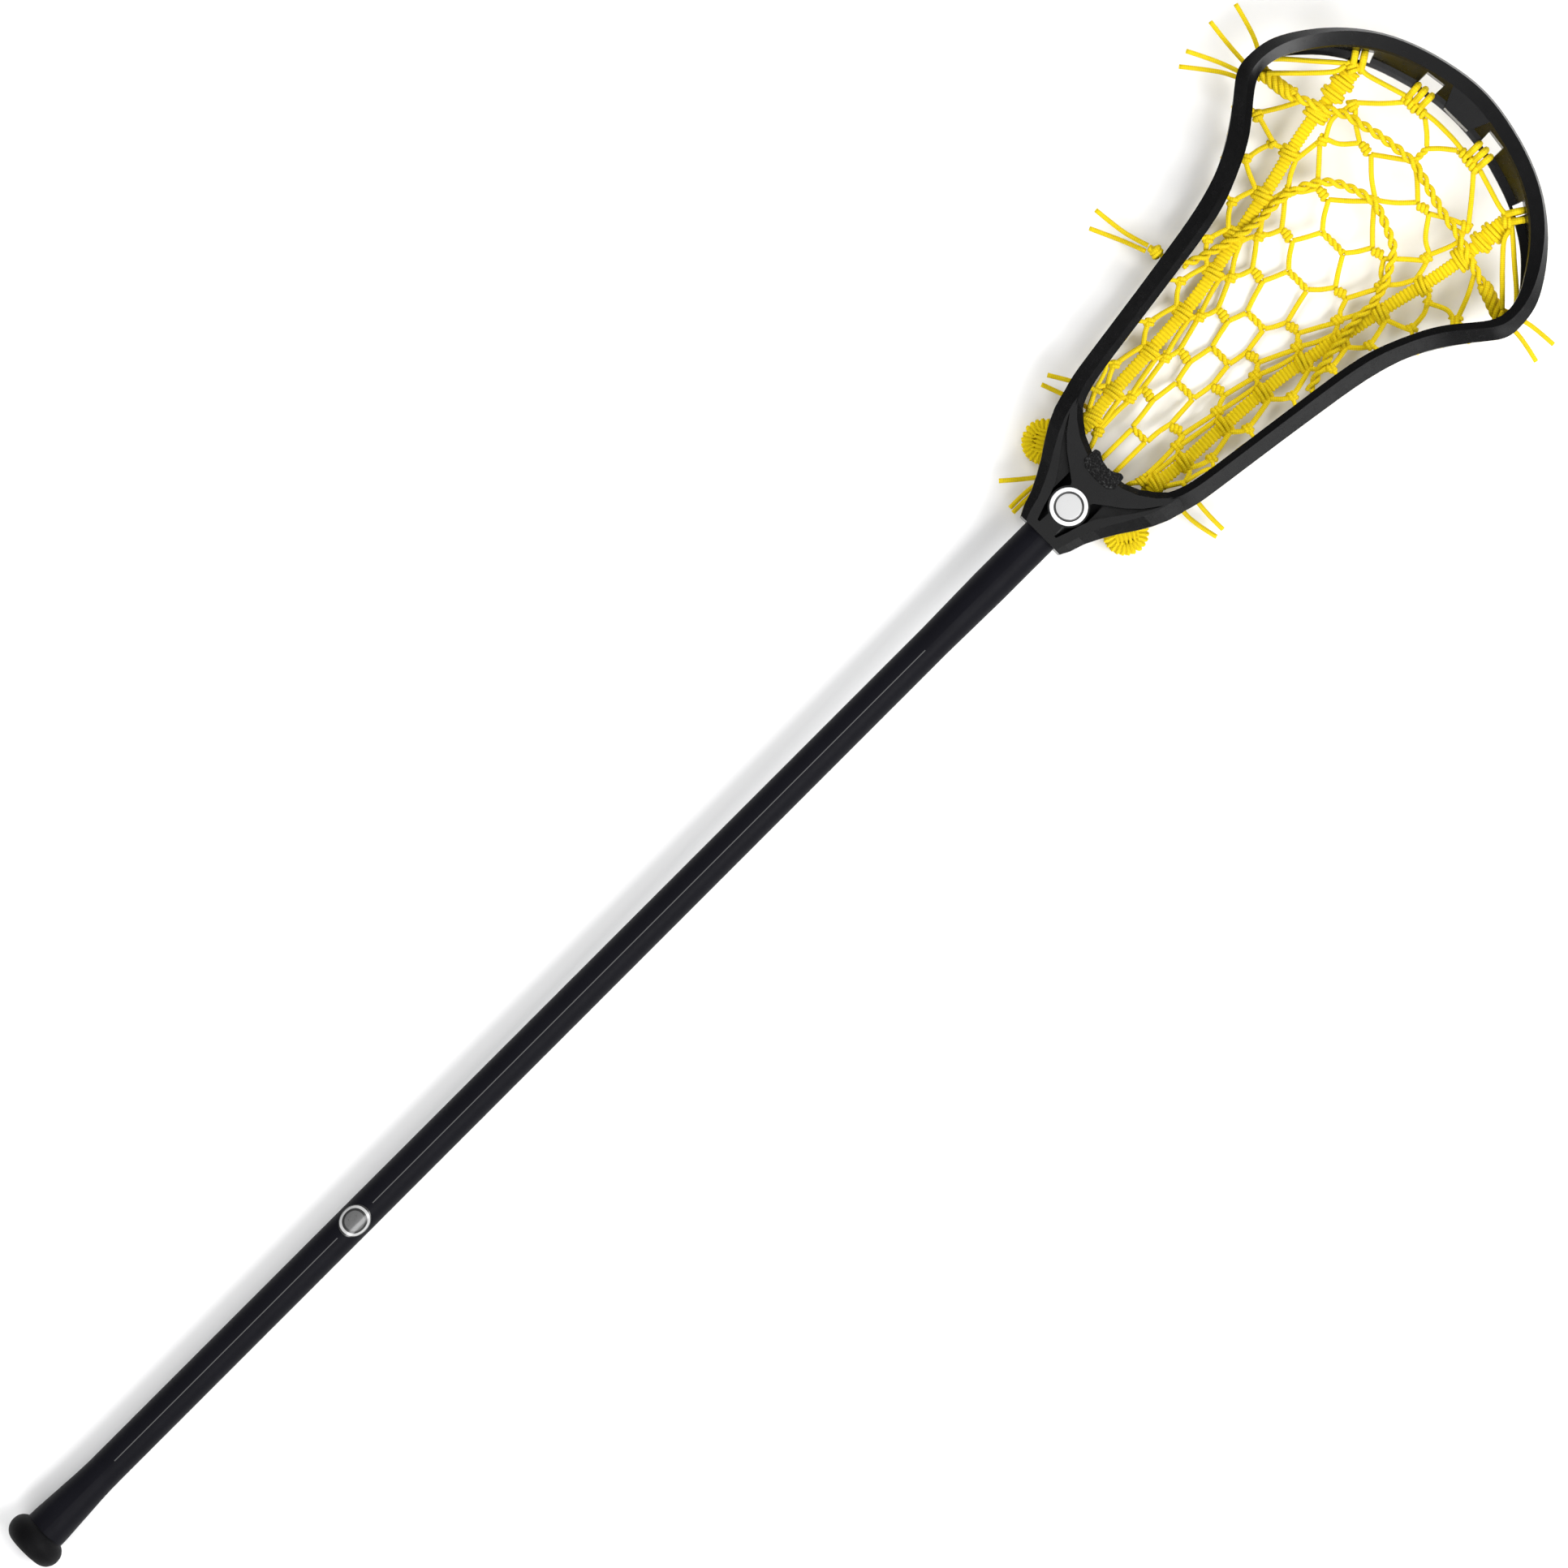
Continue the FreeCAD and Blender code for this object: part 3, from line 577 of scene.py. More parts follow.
def settle(piece, slot, *replaced):
    """Puts a piece in the scene, on the stick's one body, and hides the CAD nodes it stands for; its slot is
    not used.
    """
    bpy.context.scene.collection.objects.link(piece)
    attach(piece, "root")
    if replaced:
        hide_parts(*replaced)
    return piece


# ---------------------------------------------------------------- free string tails
TAILS = {
    "tail_upper_left_1": [
        (1018.0, 88.5, -5.0), (1025.5, 100.5, -6.4), (1030.4, 112.0, -7.6), (1034.0, 126.0, -9.0),
    ],
    "tail_upper_left_2": [
        (1014.6, 88.0, -8.8), (1015.4, 101.5, -9.4), (1016.2, 115.0, -10.4), (1018.2, 129.0, -12.0),
    ],
    "tail_upper_left_3": [
        (1012.4, 90.2, -4.4), (1008.8, 102.4, -6.0), (1004.2, 114.5, -8.2), (998.0, 127.0, -10.6),
    ],
    "tail_upper_left_4": [
        (1010.4, 90.0, -9.6), (1006.4, 101.4, -12.0), (999.0, 112.5, -14.0), (990.0, 124.0, -16.4),
    ],
    "tail_middle_left_1": [
        (911.2, 68.4, -18.2), (908.0, 78.0, -18.4), (906.2, 87.5, -19.0), (905.0, 101.5, -20.4),
    ],
    "tail_middle_left_2": [
        (908.3, 67.2, -21.2), (905.2, 76.0, -21.6), (901.4, 85.0, -22.6), (896.0, 97.0, -24.4),
    ],
    "tail_lower_left_1": [
        (838.0, 30.2, -13.4), (835.0, 39.0, -14.2), (830.4, 47.8, -15.0), (824.5, 57.5, -16.0),
    ],
    "tail_lower_left_2": [
        (828.4, 26.8, -21.5), (826.4, 36.0, -22.2), (823.2, 45.0, -21.8), (819.0, 56.2, -21.0),
    ],
    "tail_throat_left_1": [
        (797.0, 14.0, -18.6), (788.5, 19.0, -18.8), (778.4, 25.5, -18.4), (766.5, 36.0, -17.4),
    ],
    "tail_throat_left_2": [
        (795.0, 12.0, -23.4), (784.6, 16.4, -22.4), (773.0, 19.0, -21.0), (760.0, 18.8, -20.0),
    ],
    "tail_throat_left_3": [
        (792.0, 17.0, -23.4), (782.6, 20.0, -22.0), (772.0, 21.9, -20.6), (760.6, 21.7, -19.6),
    ],
    "tail_upper_right_1": [
        (1019.0, -88.4, -5.0), (1022.4, -98.4, -6.2), (1024.8, -109.0, -7.4), (1025.5, -121.0, -8.8),
    ],
    "tail_upper_right_2": [
        (1015.4, -88.2, -8.8), (1016.4, -99.0, -9.6), (1015.6, -110.0, -10.8), (1013.0, -121.0, -12.4),
    ],
    "tail_lower_right_1": [
        (834.6, -33.8, -14.4), (833.4, -44.6, -15.0), (832.2, -55.5, -15.8), (832.5, -66.5, -17.0),
    ],
    "tail_lower_right_2": [
        (826.4, -33.0, -21.4), (824.2, -44.5, -22.0), (824.8, -55.6, -21.6), (827.5, -67.0, -20.8),
    ],
}


def make_tail_knot():
    """The overhand knot outside the left sidewall, and the bit of cord that ties it to the rail."""
    knot = Piece("knot_middle_left")
    centre = Vector((912.0, 63.2, -19.0))
    knot.wrap(centre, (0.25, 1.0, 0.0), turns=2.4, wide=2.5, high=2.5, pitch=2.2, radius=CORD_R)
    knot.wrap(centre, (1.0, 0.3, 0.2), turns=1.1, wide=2.6, high=2.4, pitch=1.5, radius=CORD_R)
    tie = [(914.0, 50.5, -18.6), (913.0, 57.0, -18.8), (912.0, 64.0, -19.0), (911.4, 67.6, -19.4)]
    knot.tube(smooth(tie))
    return knot.make(CORD, "cord", "tail_knot_left")


def make_tails():
    knot = make_tail_knot()
    for name, route in TAILS.items():
        path = spline_points(name, route)
        tail = Piece(name + "_cord")
        tail.tube(path, TAIL_R, TAIL_SIDES)
        piece = tail.make(CORD, "cord", name)


make_tails()

# ---------------------------------------------------------------- the pocket
# Places on the net as X and Y, the left side first and then the right. The A knots are nearest the
# middle, the B knots are next to the runners and the D knots are outside them.
A_KNOTS = [
    ((1028.5, 23), (1028, -21)), ((996.5, 22), (995, -21)), ((968, 20), (966.5, -22)),
    ((942, 16), (935.5, -17)), ((914, 14), (909.5, -13)), ((884, 13), (884, -12.5)),
    ((855.5, 12.5), (853, -11.5)),
]
B_KNOTS = [
    ((1015.5, 42), (1011, -41)), ((984, 36), (984, -34.5)), ((957, 30), (955, -31)),
    ((931, 25), (930, -26)), ((904.5, 22), (903.5, -21)), ((876, 19.5), (875.5, -20)),
    ((847, 17.5), (847, -18)), ((822, 17), (820, -18)),
]
D_KNOTS = [
    ((981, 64), (979, -62)), ((959.5, 53), (957, -52.5)), ((936.5, 48), (934, -46.5)),
    ((910.5, 42.5), (909, -42.5)), ((883, 39), (880, -38)), ((854, 36), (855, -35.5)),
]
TOP_KNOTS = ((1039.5, 44), (1036.5, -44))
CORNER = ((1001.0, 76.5), (998.0, -75.5))
FORK = ((996.0, 60.0), (994.0, -58.5))
WEB_END = ((837.0, 34.0), (836.0, -34.5))
# The twisted bars down the middle: X, left end, right end.
BARS = [
    (1013.0, 0.0, 0.0), (982.0, 8.0, -8.0), (955.0, 6.0, -8.0),
    (924.0, 6.0, -6.5), (897.5, 6.0, -6.5), (871.0, 6.0, -6.0),
]
LAST_BAR = (836.5, 5.5, -4.5)
# The wraps round the left runner: X and Y.
WRAPS = [
    (1024.0, 54.5), (999.0, 50.0), (973.0, 44.5), (948.0, 40.0), (926.0, 34.0),
    (899.5, 30.5), (872.0, 28.0), (843.0, 26.5), (824.5, 24.2),
]
# Half the length of an A knot, and the height of the strings behind the throat.
A_HALF = 4.2
THROAT_Z = -17.8


def part_way(a, b, x_share, y_share):
    """The place between a and b that is so far over to b in X and in Y."""
    return (a[0] * (1 - x_share) + b[0] * x_share, a[1] * (1 - y_share) + b[1] * y_share)


def one_side(knots, side, shift=0.0):
    """One side's places from a table of both sides, moved in Y by a shift."""
    return [(both[side][0], both[side][1] + shift) for both in knots]


def lace_bars(web, side):
    """The cords between the inner ends of the A knots and the bars down the middle."""
    sign = SIGNS[side]
    inner = one_side(A_KNOTS, side, -sign * A_HALF)
    web.strand([(1061.0, sign * 12.0, 0.8), (1056.0, sign * 5.5, 0.7), (1051.5, sign * 0.9, 0.6)])
    web.strand([(1041.0, sign * 0.8, 0.4), (1036.0, sign * 8.0), inner[0]])
    for above, below, bar in zip(inner, inner[1:], BARS):
        x = bar[0]
        end = (x, bar[1 + side] + sign * 0.3)
        web.strand([above, part_way(above, end, 0.55, 0.5), (x + 0.6, end[1])])
        web.strand([(x - 0.6, end[1]), part_way(below, end, 0.45, 0.5), below])
    last_end = LAST_BAR[1 + side]
    web.strand([inner[-1], (845.0, last_end * 1.25), (LAST_BAR[0] + 0.8, last_end + sign * 0.6)])


def lace_diamonds(web, side):
    """The cords from the A knots out to the B knots, and from those to the wraps on the runner."""
    sign = SIGNS[side]
    outer = one_side(A_KNOTS, side, sign * A_HALF)
    b_knots = one_side(B_KNOTS, side)
    for k, above in enumerate(outer):
        x, y = b_knots[k]
        web.strand([above, part_way(above, (x, y), 0.6, 0.5), (x + 2.0, y)])
        if k + 1 < len(outer):
            below = outer[k + 1]
            web.strand([(x - 2.0, y), part_way(below, (x, y), 0.5, 0.55), below])
    for above, below, (wrap_x, wrap_y) in zip(b_knots, b_knots[1:], WRAPS[1:]):
        tie = (wrap_x, sign * (wrap_y - RUNNER_WIDTH / 2 - 1.2))
        web.strand([(above[0] - 1.0, above[1] + sign * 1.2), part_way(above, tie, 0.5, 0.7), tie])
        web.strand([tie, part_way(below, tie, 0.5, 0.6), (below[0] + 1.5, below[1] + sign)])


def lace_top(web, side):
    """The cords from the scoop to the top knot, and from that to the first A and B knots."""
    sign = SIGNS[side]
    x, y = TOP_KNOTS[side]
    first_a = one_side(A_KNOTS, side, sign * A_HALF)[0]
    first_b = B_KNOTS[0][side]
    web.strand([(1061.5, sign * 24.0, 0.8), (1051.0, sign * 33.5, 0.6), (x + 2.0, y)])
    web.strand([(x, y - sign * 2.0), (1034.0, sign * 36.0), first_a])
    web.strand([(x - 2.0, y + sign), (1027.0, sign * 46.5), (first_b[0] + 2.0, first_b[1])])


def tie_knots(web, side):
    """The wrapped knots where the cords meet."""
    sign = SIGNS[side]
    for knot in A_KNOTS:
        web.wrap(on_net(*knot[side]), (0.3 * sign, 1, 0), turns=2.6, wide=1.7, high=1.5)
    for knot in B_KNOTS:
        web.wrap(on_net(*knot[side]), (1, 0.25 * sign, 0), turns=2.3, wide=2.0, high=1.5)
    web.wrap(on_net(*TOP_KNOTS[side]), (0.5, 1.0 * sign, 0), turns=2.2, wide=2.2, high=1.5)


def lace_throat(web, side):
    """Two strings that run under the throat's lip to the knots behind it, and one beside the last B knots."""
    sign = SIGNS[side]
    x, y = B_KNOTS[-1][side]
    end = LAST_BAR[1 + side]
    web.tube(smooth([
        on_net(x - 1, y), on_net(814.5, sign * 14.5, -0.8),
        (808.0, sign * 13.6, THROAT_Z), (799.0, sign * 13.0, THROAT_Z - 0.4),
    ]))
    web.tube(smooth([
        on_net(LAST_BAR[0] - 0.8, end), on_net(824.0, end), on_net(814.5, end, -2.5),
        (807.0, end, THROAT_Z), (798.0, end * 1.1, THROAT_Z - 0.3),
    ]))
    web.strand([(853.0, sign * 16.6), (838.0, sign * 17.6), (824.0, sign * 17.3)])


def make_centre_web():
    """The lace between the runners: bars, knots and the cords between them. Its two sides differ a little."""
    web = Piece("centre_web")
    web.pair([on_net(x, 0.0, 0.6) for x in (1052.0, 1046.5, 1041.0)], spread=1.0, pitch=7.0)
    for side in (LEFT, RIGHT):
        for add in (lace_bars, lace_diamonds, lace_top, tie_knots, lace_throat):
            add(web, side)
    for x, left, right in BARS[1:] + [LAST_BAR]:
        bar = [on_net(x, left), on_net(x + 0.3, (left + right) / 2), on_net(x, right)]
        web.pair(bar, spread=1.05, pitch=7.6)
    web.wrap(on_net(BARS[0][0], 0.0), (0, 1, 0), turns=1.6, wide=1.8, high=1.5, pitch=2.4)
    # the knots that end the strings behind the throat
    for x, y in ((797.0, 13.0), (797.0, -13.0), (796.5, 5.6), (796.5, -5.0)):
        web.wrap(Vector((x, y, THROAT_Z - 0.8)), (1, 0.2, 0), turns=2.2, wide=2.0, high=1.7)
    web.make(CORD, "cord", "lace_panel_centre")


def make_side_web(side):
    """The lace between a runner and its sidewall."""
    sign = SIGNS[side]
    web = Piece("side_web_" + HANDS[side])
    corner = CORNER[side]
    fork = FORK[side]
    d_knots = one_side(D_KNOTS, side)
    web.strand([(1022.0, sign * 65.0, 1.0), (1012.0, sign * 70.5, 0.4), (corner[0] + 1.5, corner[1])])
    web.strand([(corner[0], corner[1] - sign), (999.0, sign * 68.0), (fork[0] + 0.8, fork[1])])
    web.strand([fork, (997.5, sign * 56.5), (999.0, sign * 53.5)])
    web.strand([fork, (989.0, fork[1] + sign * 2.6), d_knots[0]])
    for k, knot in enumerate(d_knots):
        x, y = knot
        above, below = [(wrap[0], sign * (wrap[1] + RUNNER_WIDTH / 2 + 0.8)) for wrap in WRAPS[k + 1:k + 3]]
        if k:
            web.strand([above, part_way(above, knot, 0.5, 0.6), (x + 1.0, y)])
        web.strand([(x - 1.0, y), part_way(below, knot, 0.5, 0.65), below])
        web.wrap(on_net(x, y), (1, 0.4 * sign, 0), turns=1.9, wide=1.8, high=1.4)
    end = WEB_END[side]
    web.strand([(843.0, sign * 30.8), (840.5, sign * 33.0), end])
    web.strand([end, (829.0, sign * 30.0), (824.5, sign * 27.6)])
    web.wrap(on_net(*corner), (0.6, sign, 0), turns=2.4, wide=2.2, high=1.6, pitch=2.4)
    web.wrap(on_net(*fork), (0.5, sign, 0), turns=1.3, wide=1.7, high=1.4)
    web.make(CORD, "cord", "lace_panel_" + HANDS[side])


# The loops of a sidewall's lace: how many, where the first is along the rail's outer edge, how far apart
# they are, how far odd and even ones lean along the rail, and a loop's points, as the distance in from
# the rail's outer edge, the height over its bottom and the share of the lean.
LOOP_COUNT = 15
LOOP_START = 19.0
LOOP_PITCH = 13.6
ODD_LEAN = 1.2
EVEN_LEAN = -1.0
LOOP = [
    (9.9, 2.6, 0.0), (8.6, 4.0, 0.0), (4.0, 4.0, 0.0), (2.4, 3.8, 0.0), (1.8, 2.4, 0.2),
    (2.0, -0.2, 0.6), (3.2, -1.1, 1.0), (6.6, -1.2, 1.6), (9.2, 0.0, 2.0), (9.8, 2.0, 2.2),
]


def rail_at(distance):
    """The outer point, the inward direction and the bottom of the left rail, so far along its outer edge."""
    for (x0, y0, u0, v0, z0), (x1, y1, u1, v1, z1) in zip(RAIL, RAIL[1:]):
        run = math.hypot(x1 - x0, y1 - y0)
        if distance <= run:
            break
        distance -= run
    t = distance / run
    outer = Vector((x0 + (x1 - x0) * t, y0 + (y1 - y0) * t, 0))
    inner = Vector((u0 + (u1 - u0) * t, v0 + (v1 - v0) * t, 0))
    return outer, (inner - outer).normalized(), z0 + (z1 - z0) * t


def rail_loop(k, sign):
    """The points of one loop round the rail, from its top inside to its end inside."""
    outer, inward, bottom = rail_at(LOOP_START + LOOP_PITCH * k)
    lean = Vector((inward.y, -inward.x, 0)) * (ODD_LEAN if k % 2 else EVEN_LEAN)
    loop = [outer + inward * s + Vector((0, 0, bottom + z)) + lean * share for s, z, share in LOOP]
    return [Vector((p.x, sign * p.y, p.z)) for p in loop]


def make_side_lace(side):
    """The cord that loops through the string holes and round the lower rail, and runs along its inside."""
    sign = SIGNS[side]
    lace = Piece("side_lace_" + HANDS[side])
    inside = []
    for k in range(LOOP_COUNT):
        loop = rail_loop(k, sign)
        lace.tube(smooth(loop, 1.2), SMALL_R)
        if 0 < k < LOOP_COUNT - 1:
            inside.append(loop[0])
            inside.append(loop[-1] + Vector((0, 0, -0.6)))
    lace.tube(smooth(inside, 1.5), LACE_R)
    for knot in D_KNOTS + [CORNER]:
        start = on_net(*knot[side])
        closest = min(inside, key=lambda p: (p - start).length)
        lace.tube(smooth([start, (start + closest) / 2 + Vector((0, 0, 0.8)), closest], 1.2), LACE_R)
    end = on_net(*WEB_END[side])
    lace.tube(smooth([inside[0], (848.0, sign * 37.4, -17.0), end]), LACE_R)
    lace.make(CORD, "cord", "sidewall_lace_" + HANDS[side])


def make_runner(side):
    """The woven strap, its thicker top end, and its run under the lip of the throat to the toggle."""
    sign = SIGNS[side]
    across = Vector((0, 1, 0))
    rib_step = RIB_PITCH / 6
    strap = Piece("strap_" + HANDS[side])
    path = [Vector((803.5, sign * 28.4, -21.6)), Vector((811.0, sign * 25.6, -19.4))]
    path += [on_net(x, sign * y) for x, y in RUNNER]
    strap.strap(smooth(path, rib_step), RUNNER_WIDTH, RUNNER_THICK, across)
    top = [on_net(x, sign * between(RUNNER_TOP, x), 0.9) for x in (1033.0, 1038.0, 1045.0, 1052.0)]
    strap.strap(smooth(top, rib_step), RUNNER_WIDTH + 2.8, RUNNER_THICK + 1.4, across)
    strap.make(STRAP, "runner", "runner_" + HANDS[side])


def make_wraps(side):
    """Turns of cord round the runner wherever the lace meets it. The first wrap is wider and longer."""
    sign = SIGNS[side]
    wraps = Piece("runner_wraps_" + HANDS[side])
    wide = RUNNER_WIDTH / 2 + 0.7
    high = RUNNER_THICK / 2
    for k, (x, y) in enumerate(WRAPS):
        turns, extra = (2.6, 0.0) if k else (3.6, 1.6)
        centre = on_net(x, sign * y)
        ahead = on_net(x + 4, sign * between(RUNNER, x + 4)) - on_net(x - 4, sign * between(RUNNER, x - 4))
        wraps.wrap(centre, ahead, turns, wide + extra, high + 0.95, pitch=2.5, radius=1.25, hand=sign)
        over = centre + Vector((0.8, 0, 0.3))
        lean = ahead.normalized() + Vector((0, 0.12 * sign, 0))
        wraps.wrap(over, lean, 1.1, wide + 0.5, high + 1.5, pitch=2.4, radius=SMALL_R, hand=sign)
    for x in (1036.0, 1043.5):
        centre = on_net(x, sign * between(RUNNER_TOP, x), 0.9)
        lean = (1, 0.08 * sign, 0.2)
        wraps.wrap(centre, lean, 1.7, RUNNER_WIDTH / 2 + 2.3, 3.1, pitch=2.4, radius=SMALL_R)
    wraps.make(CORD, "cord")


UPPER_SHOOTER = [
    (1018, 91), (1020, 75), (1026, 57), (1032.5, 45), (1036, 32), (1038.5, 20), (1040.5, 0), (1037, -15),
    (1033, -30), (1030.5, -45), (1025, -60), (1020, -77), (1015, -91),
]
LOWER_SHOOTER = [
    (917, 48), (927, 44), (939, 40.5), (952, 37.5), (965, 36), (977, 36), (987, 34), (996, 30),
    (1003, 24), (1008, 15), (1012, 0), (1007, -15), (1002, -25), (995, -30), (986, -35), (974, -38),
    (962, -38), (947, -40), (932, -42.5), (917, -47),
]


# How much higher a shooting string is on a runner's middle line, and from how far away it starts to rise.
CROSSING_LIFT = 1.5
CROSSING_REACH = 9.0


def over_net(route, high):
    """Points of a shooting string, so high over the net, and higher where it crosses the runners."""
    points = []
    for x, y in route:
        gap = abs(abs(y) - between(RUNNER, min(x, RUNNER[-1][0])))
        points.append(on_net(x, y, high + CROSSING_LIFT * max(0.0, 1 - gap / CROSSING_REACH)))
    return points


def make_shooters():
    """The two pairs of shooting strings. The upper pair ends in a block of four strings at each side."""
    upper = Piece("shooting_pair_upper")
    points = over_net(UPPER_SHOOTER, 2.0)
    upper.pair(points, spread=1.45, pitch=14.0, radius=1.3)
    for ends in (points, points[::-1]):
        block = smooth([ends[0], ends[1], ends[1] * 0.72 + ends[2] * 0.28], 0.8)
        for phase in (0.0, 1.6, 3.1, 4.7):
            upper.helix(block, spread=2.7, pitch=17.0, radius=1.6, phase=phase)
    upper.make(CORD, "cord", "shooting_string_upper")
    lower = Piece("shooting_pair_lower")
    lower.pair(over_net(LOWER_SHOOTER, 2.2), spread=1.35, pitch=13.0, radius=1.25)
    lower.make(CORD, "cord", "shooting_string_lower")


# The scoop's lace as X, Y and Z: the left side's two cords, and the one across the middle.
SCOOP_CORDS = [
    [
        (1024.5, 93.0, 0.6), (1031.0, 86.5, 1.8), (1040.0, 76.0, 2.2), (1050.0, 64.5, 3.4),
        (1055.0, 57.5, 4.0), (1055.5, 50.0, 3.2), (1059.0, 38.0, 3.2), (1062.0, 28.0, 3.6),
    ],
    [(1018.5, 88.5, 0.4), (1026.0, 81.0, 1.4), (1034.0, 73.0, 1.8), (1044.5, 63.5, 3.2), (1051.0, 61.5, 4.2)],
]
SCOOP_MIDDLE_CORD = [
    (1062.5, 16.0, 2.9), (1063.6, 8.0, 3.0), (1063.8, 0.0, 3.0), (1063.6, -8.0, 3.0), (1062.5, -16.0, 2.9),
]
# The loops through the windows on the left: X and Y, the run's Y for 1 of X, the lean, and the height.
OUTER_TURN = 0.42
INNER_TURN = 0.05
WINDOW_LOOPS = [
    (1059.5, 60.6, OUTER_TURN, 3.2, 8.6), (1061.5, 56.4, OUTER_TURN, 2.4, 8.8),
    (1068.6, 26.6, INNER_TURN, 0.2, 9.4), (1069.6, 22.4, INNER_TURN, 0.2, 9.8),
    (1069.6, 18.2, INNER_TURN, -0.4, 9.4),
]
WINDOW_LOOP_R = 1.85
# Where along its run a loop starts to lean, and how far on it has leaned all the way.
LEAN_START = -8.5
LEAN_RUN = 11


def window_loop(x, y, turn, lean, high, sign):
    """The points of a loop through a window of the scoop and round the bar between it and the net."""
    run = Vector((1.0, turn, 0)).normalized()
    loop = []
    for along, z in (
        (-7.5, 1.8), (-5.2, 5.0), (-2.2, high), (0.8, high - 0.3), (2.2, 5.4),
        (0.6, 0.8), (-3.2, 0.4), (-6.6, 1.0), (-7.8, 2.2),
    ):
        shift = lean * (along - LEAN_START) / LEAN_RUN
        loop.append((x + run.x * along, sign * (y + run.y * along + shift), z))
    return loop


def make_scoop_lace():
    """The lace that ties the top of the net to the four windows of the scoop."""
    lace = Piece("scoop_lace_cord")
    for sign in SIGNS:
        for route in SCOOP_CORDS:
            lace.tube(smooth([(x, sign * y, z) for x, y, z in route]))
        for loop in WINDOW_LOOPS:
            lace.tube(smooth(window_loop(*loop, sign), 1.1), WINDOW_LOOP_R)
        lace.wrap(Vector((1061.3, sign * 23.0, 2.8)), (0.1, 1, 0), turns=3.4, wide=2.2, high=1.9, pitch=2.6)
        lace.wrap(Vector((1062.0, sign * 16.0, 2.8)), (0.1, 1, 0), turns=2.2, wide=1.9, high=1.7, pitch=2.6)
        lace.wrap(Vector((1053.0, sign * 58.0, 3.6)), (0.6, 0.8 * sign, 0), 2.4, 2.4, 1.9, pitch=2.6)
    lace.tube(smooth(SCOOP_MIDDLE_CORD))
    lace.make(CORD, "cord", "scoop_lace")


TOGGLE_CENTRES = ((798.5, 33.5), (795.0, -31.0))
# A toggle's layers, top first: Z and size.
TOGGLE_LAYERS = ((-20.2, 1.0), (-23.0, 0.97), (-25.7, 0.92))
TOGGLE_R = 8.6
TOGGLE_THICK = 3.4
TURN_STEPS = 60


def make_toggle(side):
    """The runner's end behind the throat: layers of one flat turn each, with a straight fold across it."""
    sign = SIGNS[side]
    upright = Vector((0, 0, 1))
    rib_step = RIB_PITCH / 5
    fold = Piece("toggle_fold_" + HANDS[side])
    centre = Vector(TOGGLE_CENTRES[side] + (0.0,))
    along = Vector((0.87, 0.5 * sign, 0))
    for layer, (z, size) in enumerate(TOGGLE_LAYERS):
        turn = []
        for i in range(TURN_STEPS + 1):
            share = i / TURN_STEPS
            a = 0.5 + 1.4 * layer + 1.96 * math.pi * share
            r = (TOGGLE_R + 0.6 * share) * size
            turn.append(centre + Vector((math.cos(a) * r, sign * math.sin(a) * r, z)))
        fold.strap(smooth(turn, rib_step), TOGGLE_THICK, 8.0, upright)
        middle = [centre + along * s + Vector((0, 0, z + 0.2)) for s in (-6.6, -2.2, 2.2, 6.6)]
        fold.strap(smooth(middle, rib_step), TOGGLE_THICK, 13.6, upright)
    fold.make(STRAP, "runner", "toggle_" + HANDS[side])


make_centre_web()
for make in (make_side_web, make_side_lace, make_runner, make_wraps):
    for side in (LEFT, RIGHT):
        make(side)
make_shooters()
make_scoop_lace()
make_toggle(LEFT)
make_toggle(RIGHT)


# ---------------------------------------------------------------- ball stop and badges
PAD_OUTLINE = [
    (802.4, 8.5), (805.0, 12.0), (813.0, 11.6), (814.0, 9.0), (811.4, 4.5), (810.6, 0.0), (811.2, -3.5),
    (813.6, -7.2), (813.0, -9.8), (805.0, -10.4), (802.4, -7.5), (801.6, 0.0),
]
PAD_BOTTOM = -9.0
PAD_TOP = 16.6


def finish_mesh(build, name, material):
    """Turns built faces outwards and makes an object of them."""
    bmesh.ops.recalc_face_normals(build, faces=build.faces)
    mesh = bpy.data.meshes.new(name)
    build.to_mesh(mesh)
    build.free()
    mesh.materials.append(material)
    return bpy.data.objects.new(name, mesh)


def make_ball_stop():
    """The foam pad: its outline drawn up, rounded by a remesh, and roughened."""
    build = bmesh.new()
    low, high = [
        [build.verts.new((x * MM, y * MM, z * MM)) for x, y in PAD_OUTLINE] for z in (PAD_BOTTOM, PAD_TOP)
    ]
    build.faces.new(low)
    build.faces.new(high[::-1])
    for i in range(len(PAD_OUTLINE)):
        j = (i + 1) % len(PAD_OUTLINE)
        build.faces.new((low[i], high[i], high[j], low[j]))
    pad = finish_mesh(build, "foam_ball_stop", foam_material())
    remesh = pad.modifiers.new("even", "REMESH")
    remesh.mode = "VOXEL"
    remesh.voxel_size = 0.55 * MM
    soften = pad.modifiers.new("round", "SMOOTH")
    soften.iterations = 6
    cells = bpy.data.textures.new("foam_cells", "CLOUDS")
    cells.noise_scale = 1.3 * MM
    rough = pad.modifiers.new("cells", "DISPLACE")
    rough.texture = cells
    rough.strength = 0.7 * MM
    rough.mid_level = 0.55
    settle(pad, "foam", "ball_stop_pad")


# The throat badge's section, from the middle of its top out: radius and height over its base.
DOME = [
    (0.0, 1.0), (3.4, 0.98), (6.4, 0.9), (6.95, 0.84), (7.15, 0.62), (7.95, 0.62),
    (8.2, 0.95), (9.3, 1.05), (9.95, 0.9), (10.28, 0.5), (THROAT_BADGE_R, 0.0),
]
DOME_Z = 13.35
DOME_SIDES = 96


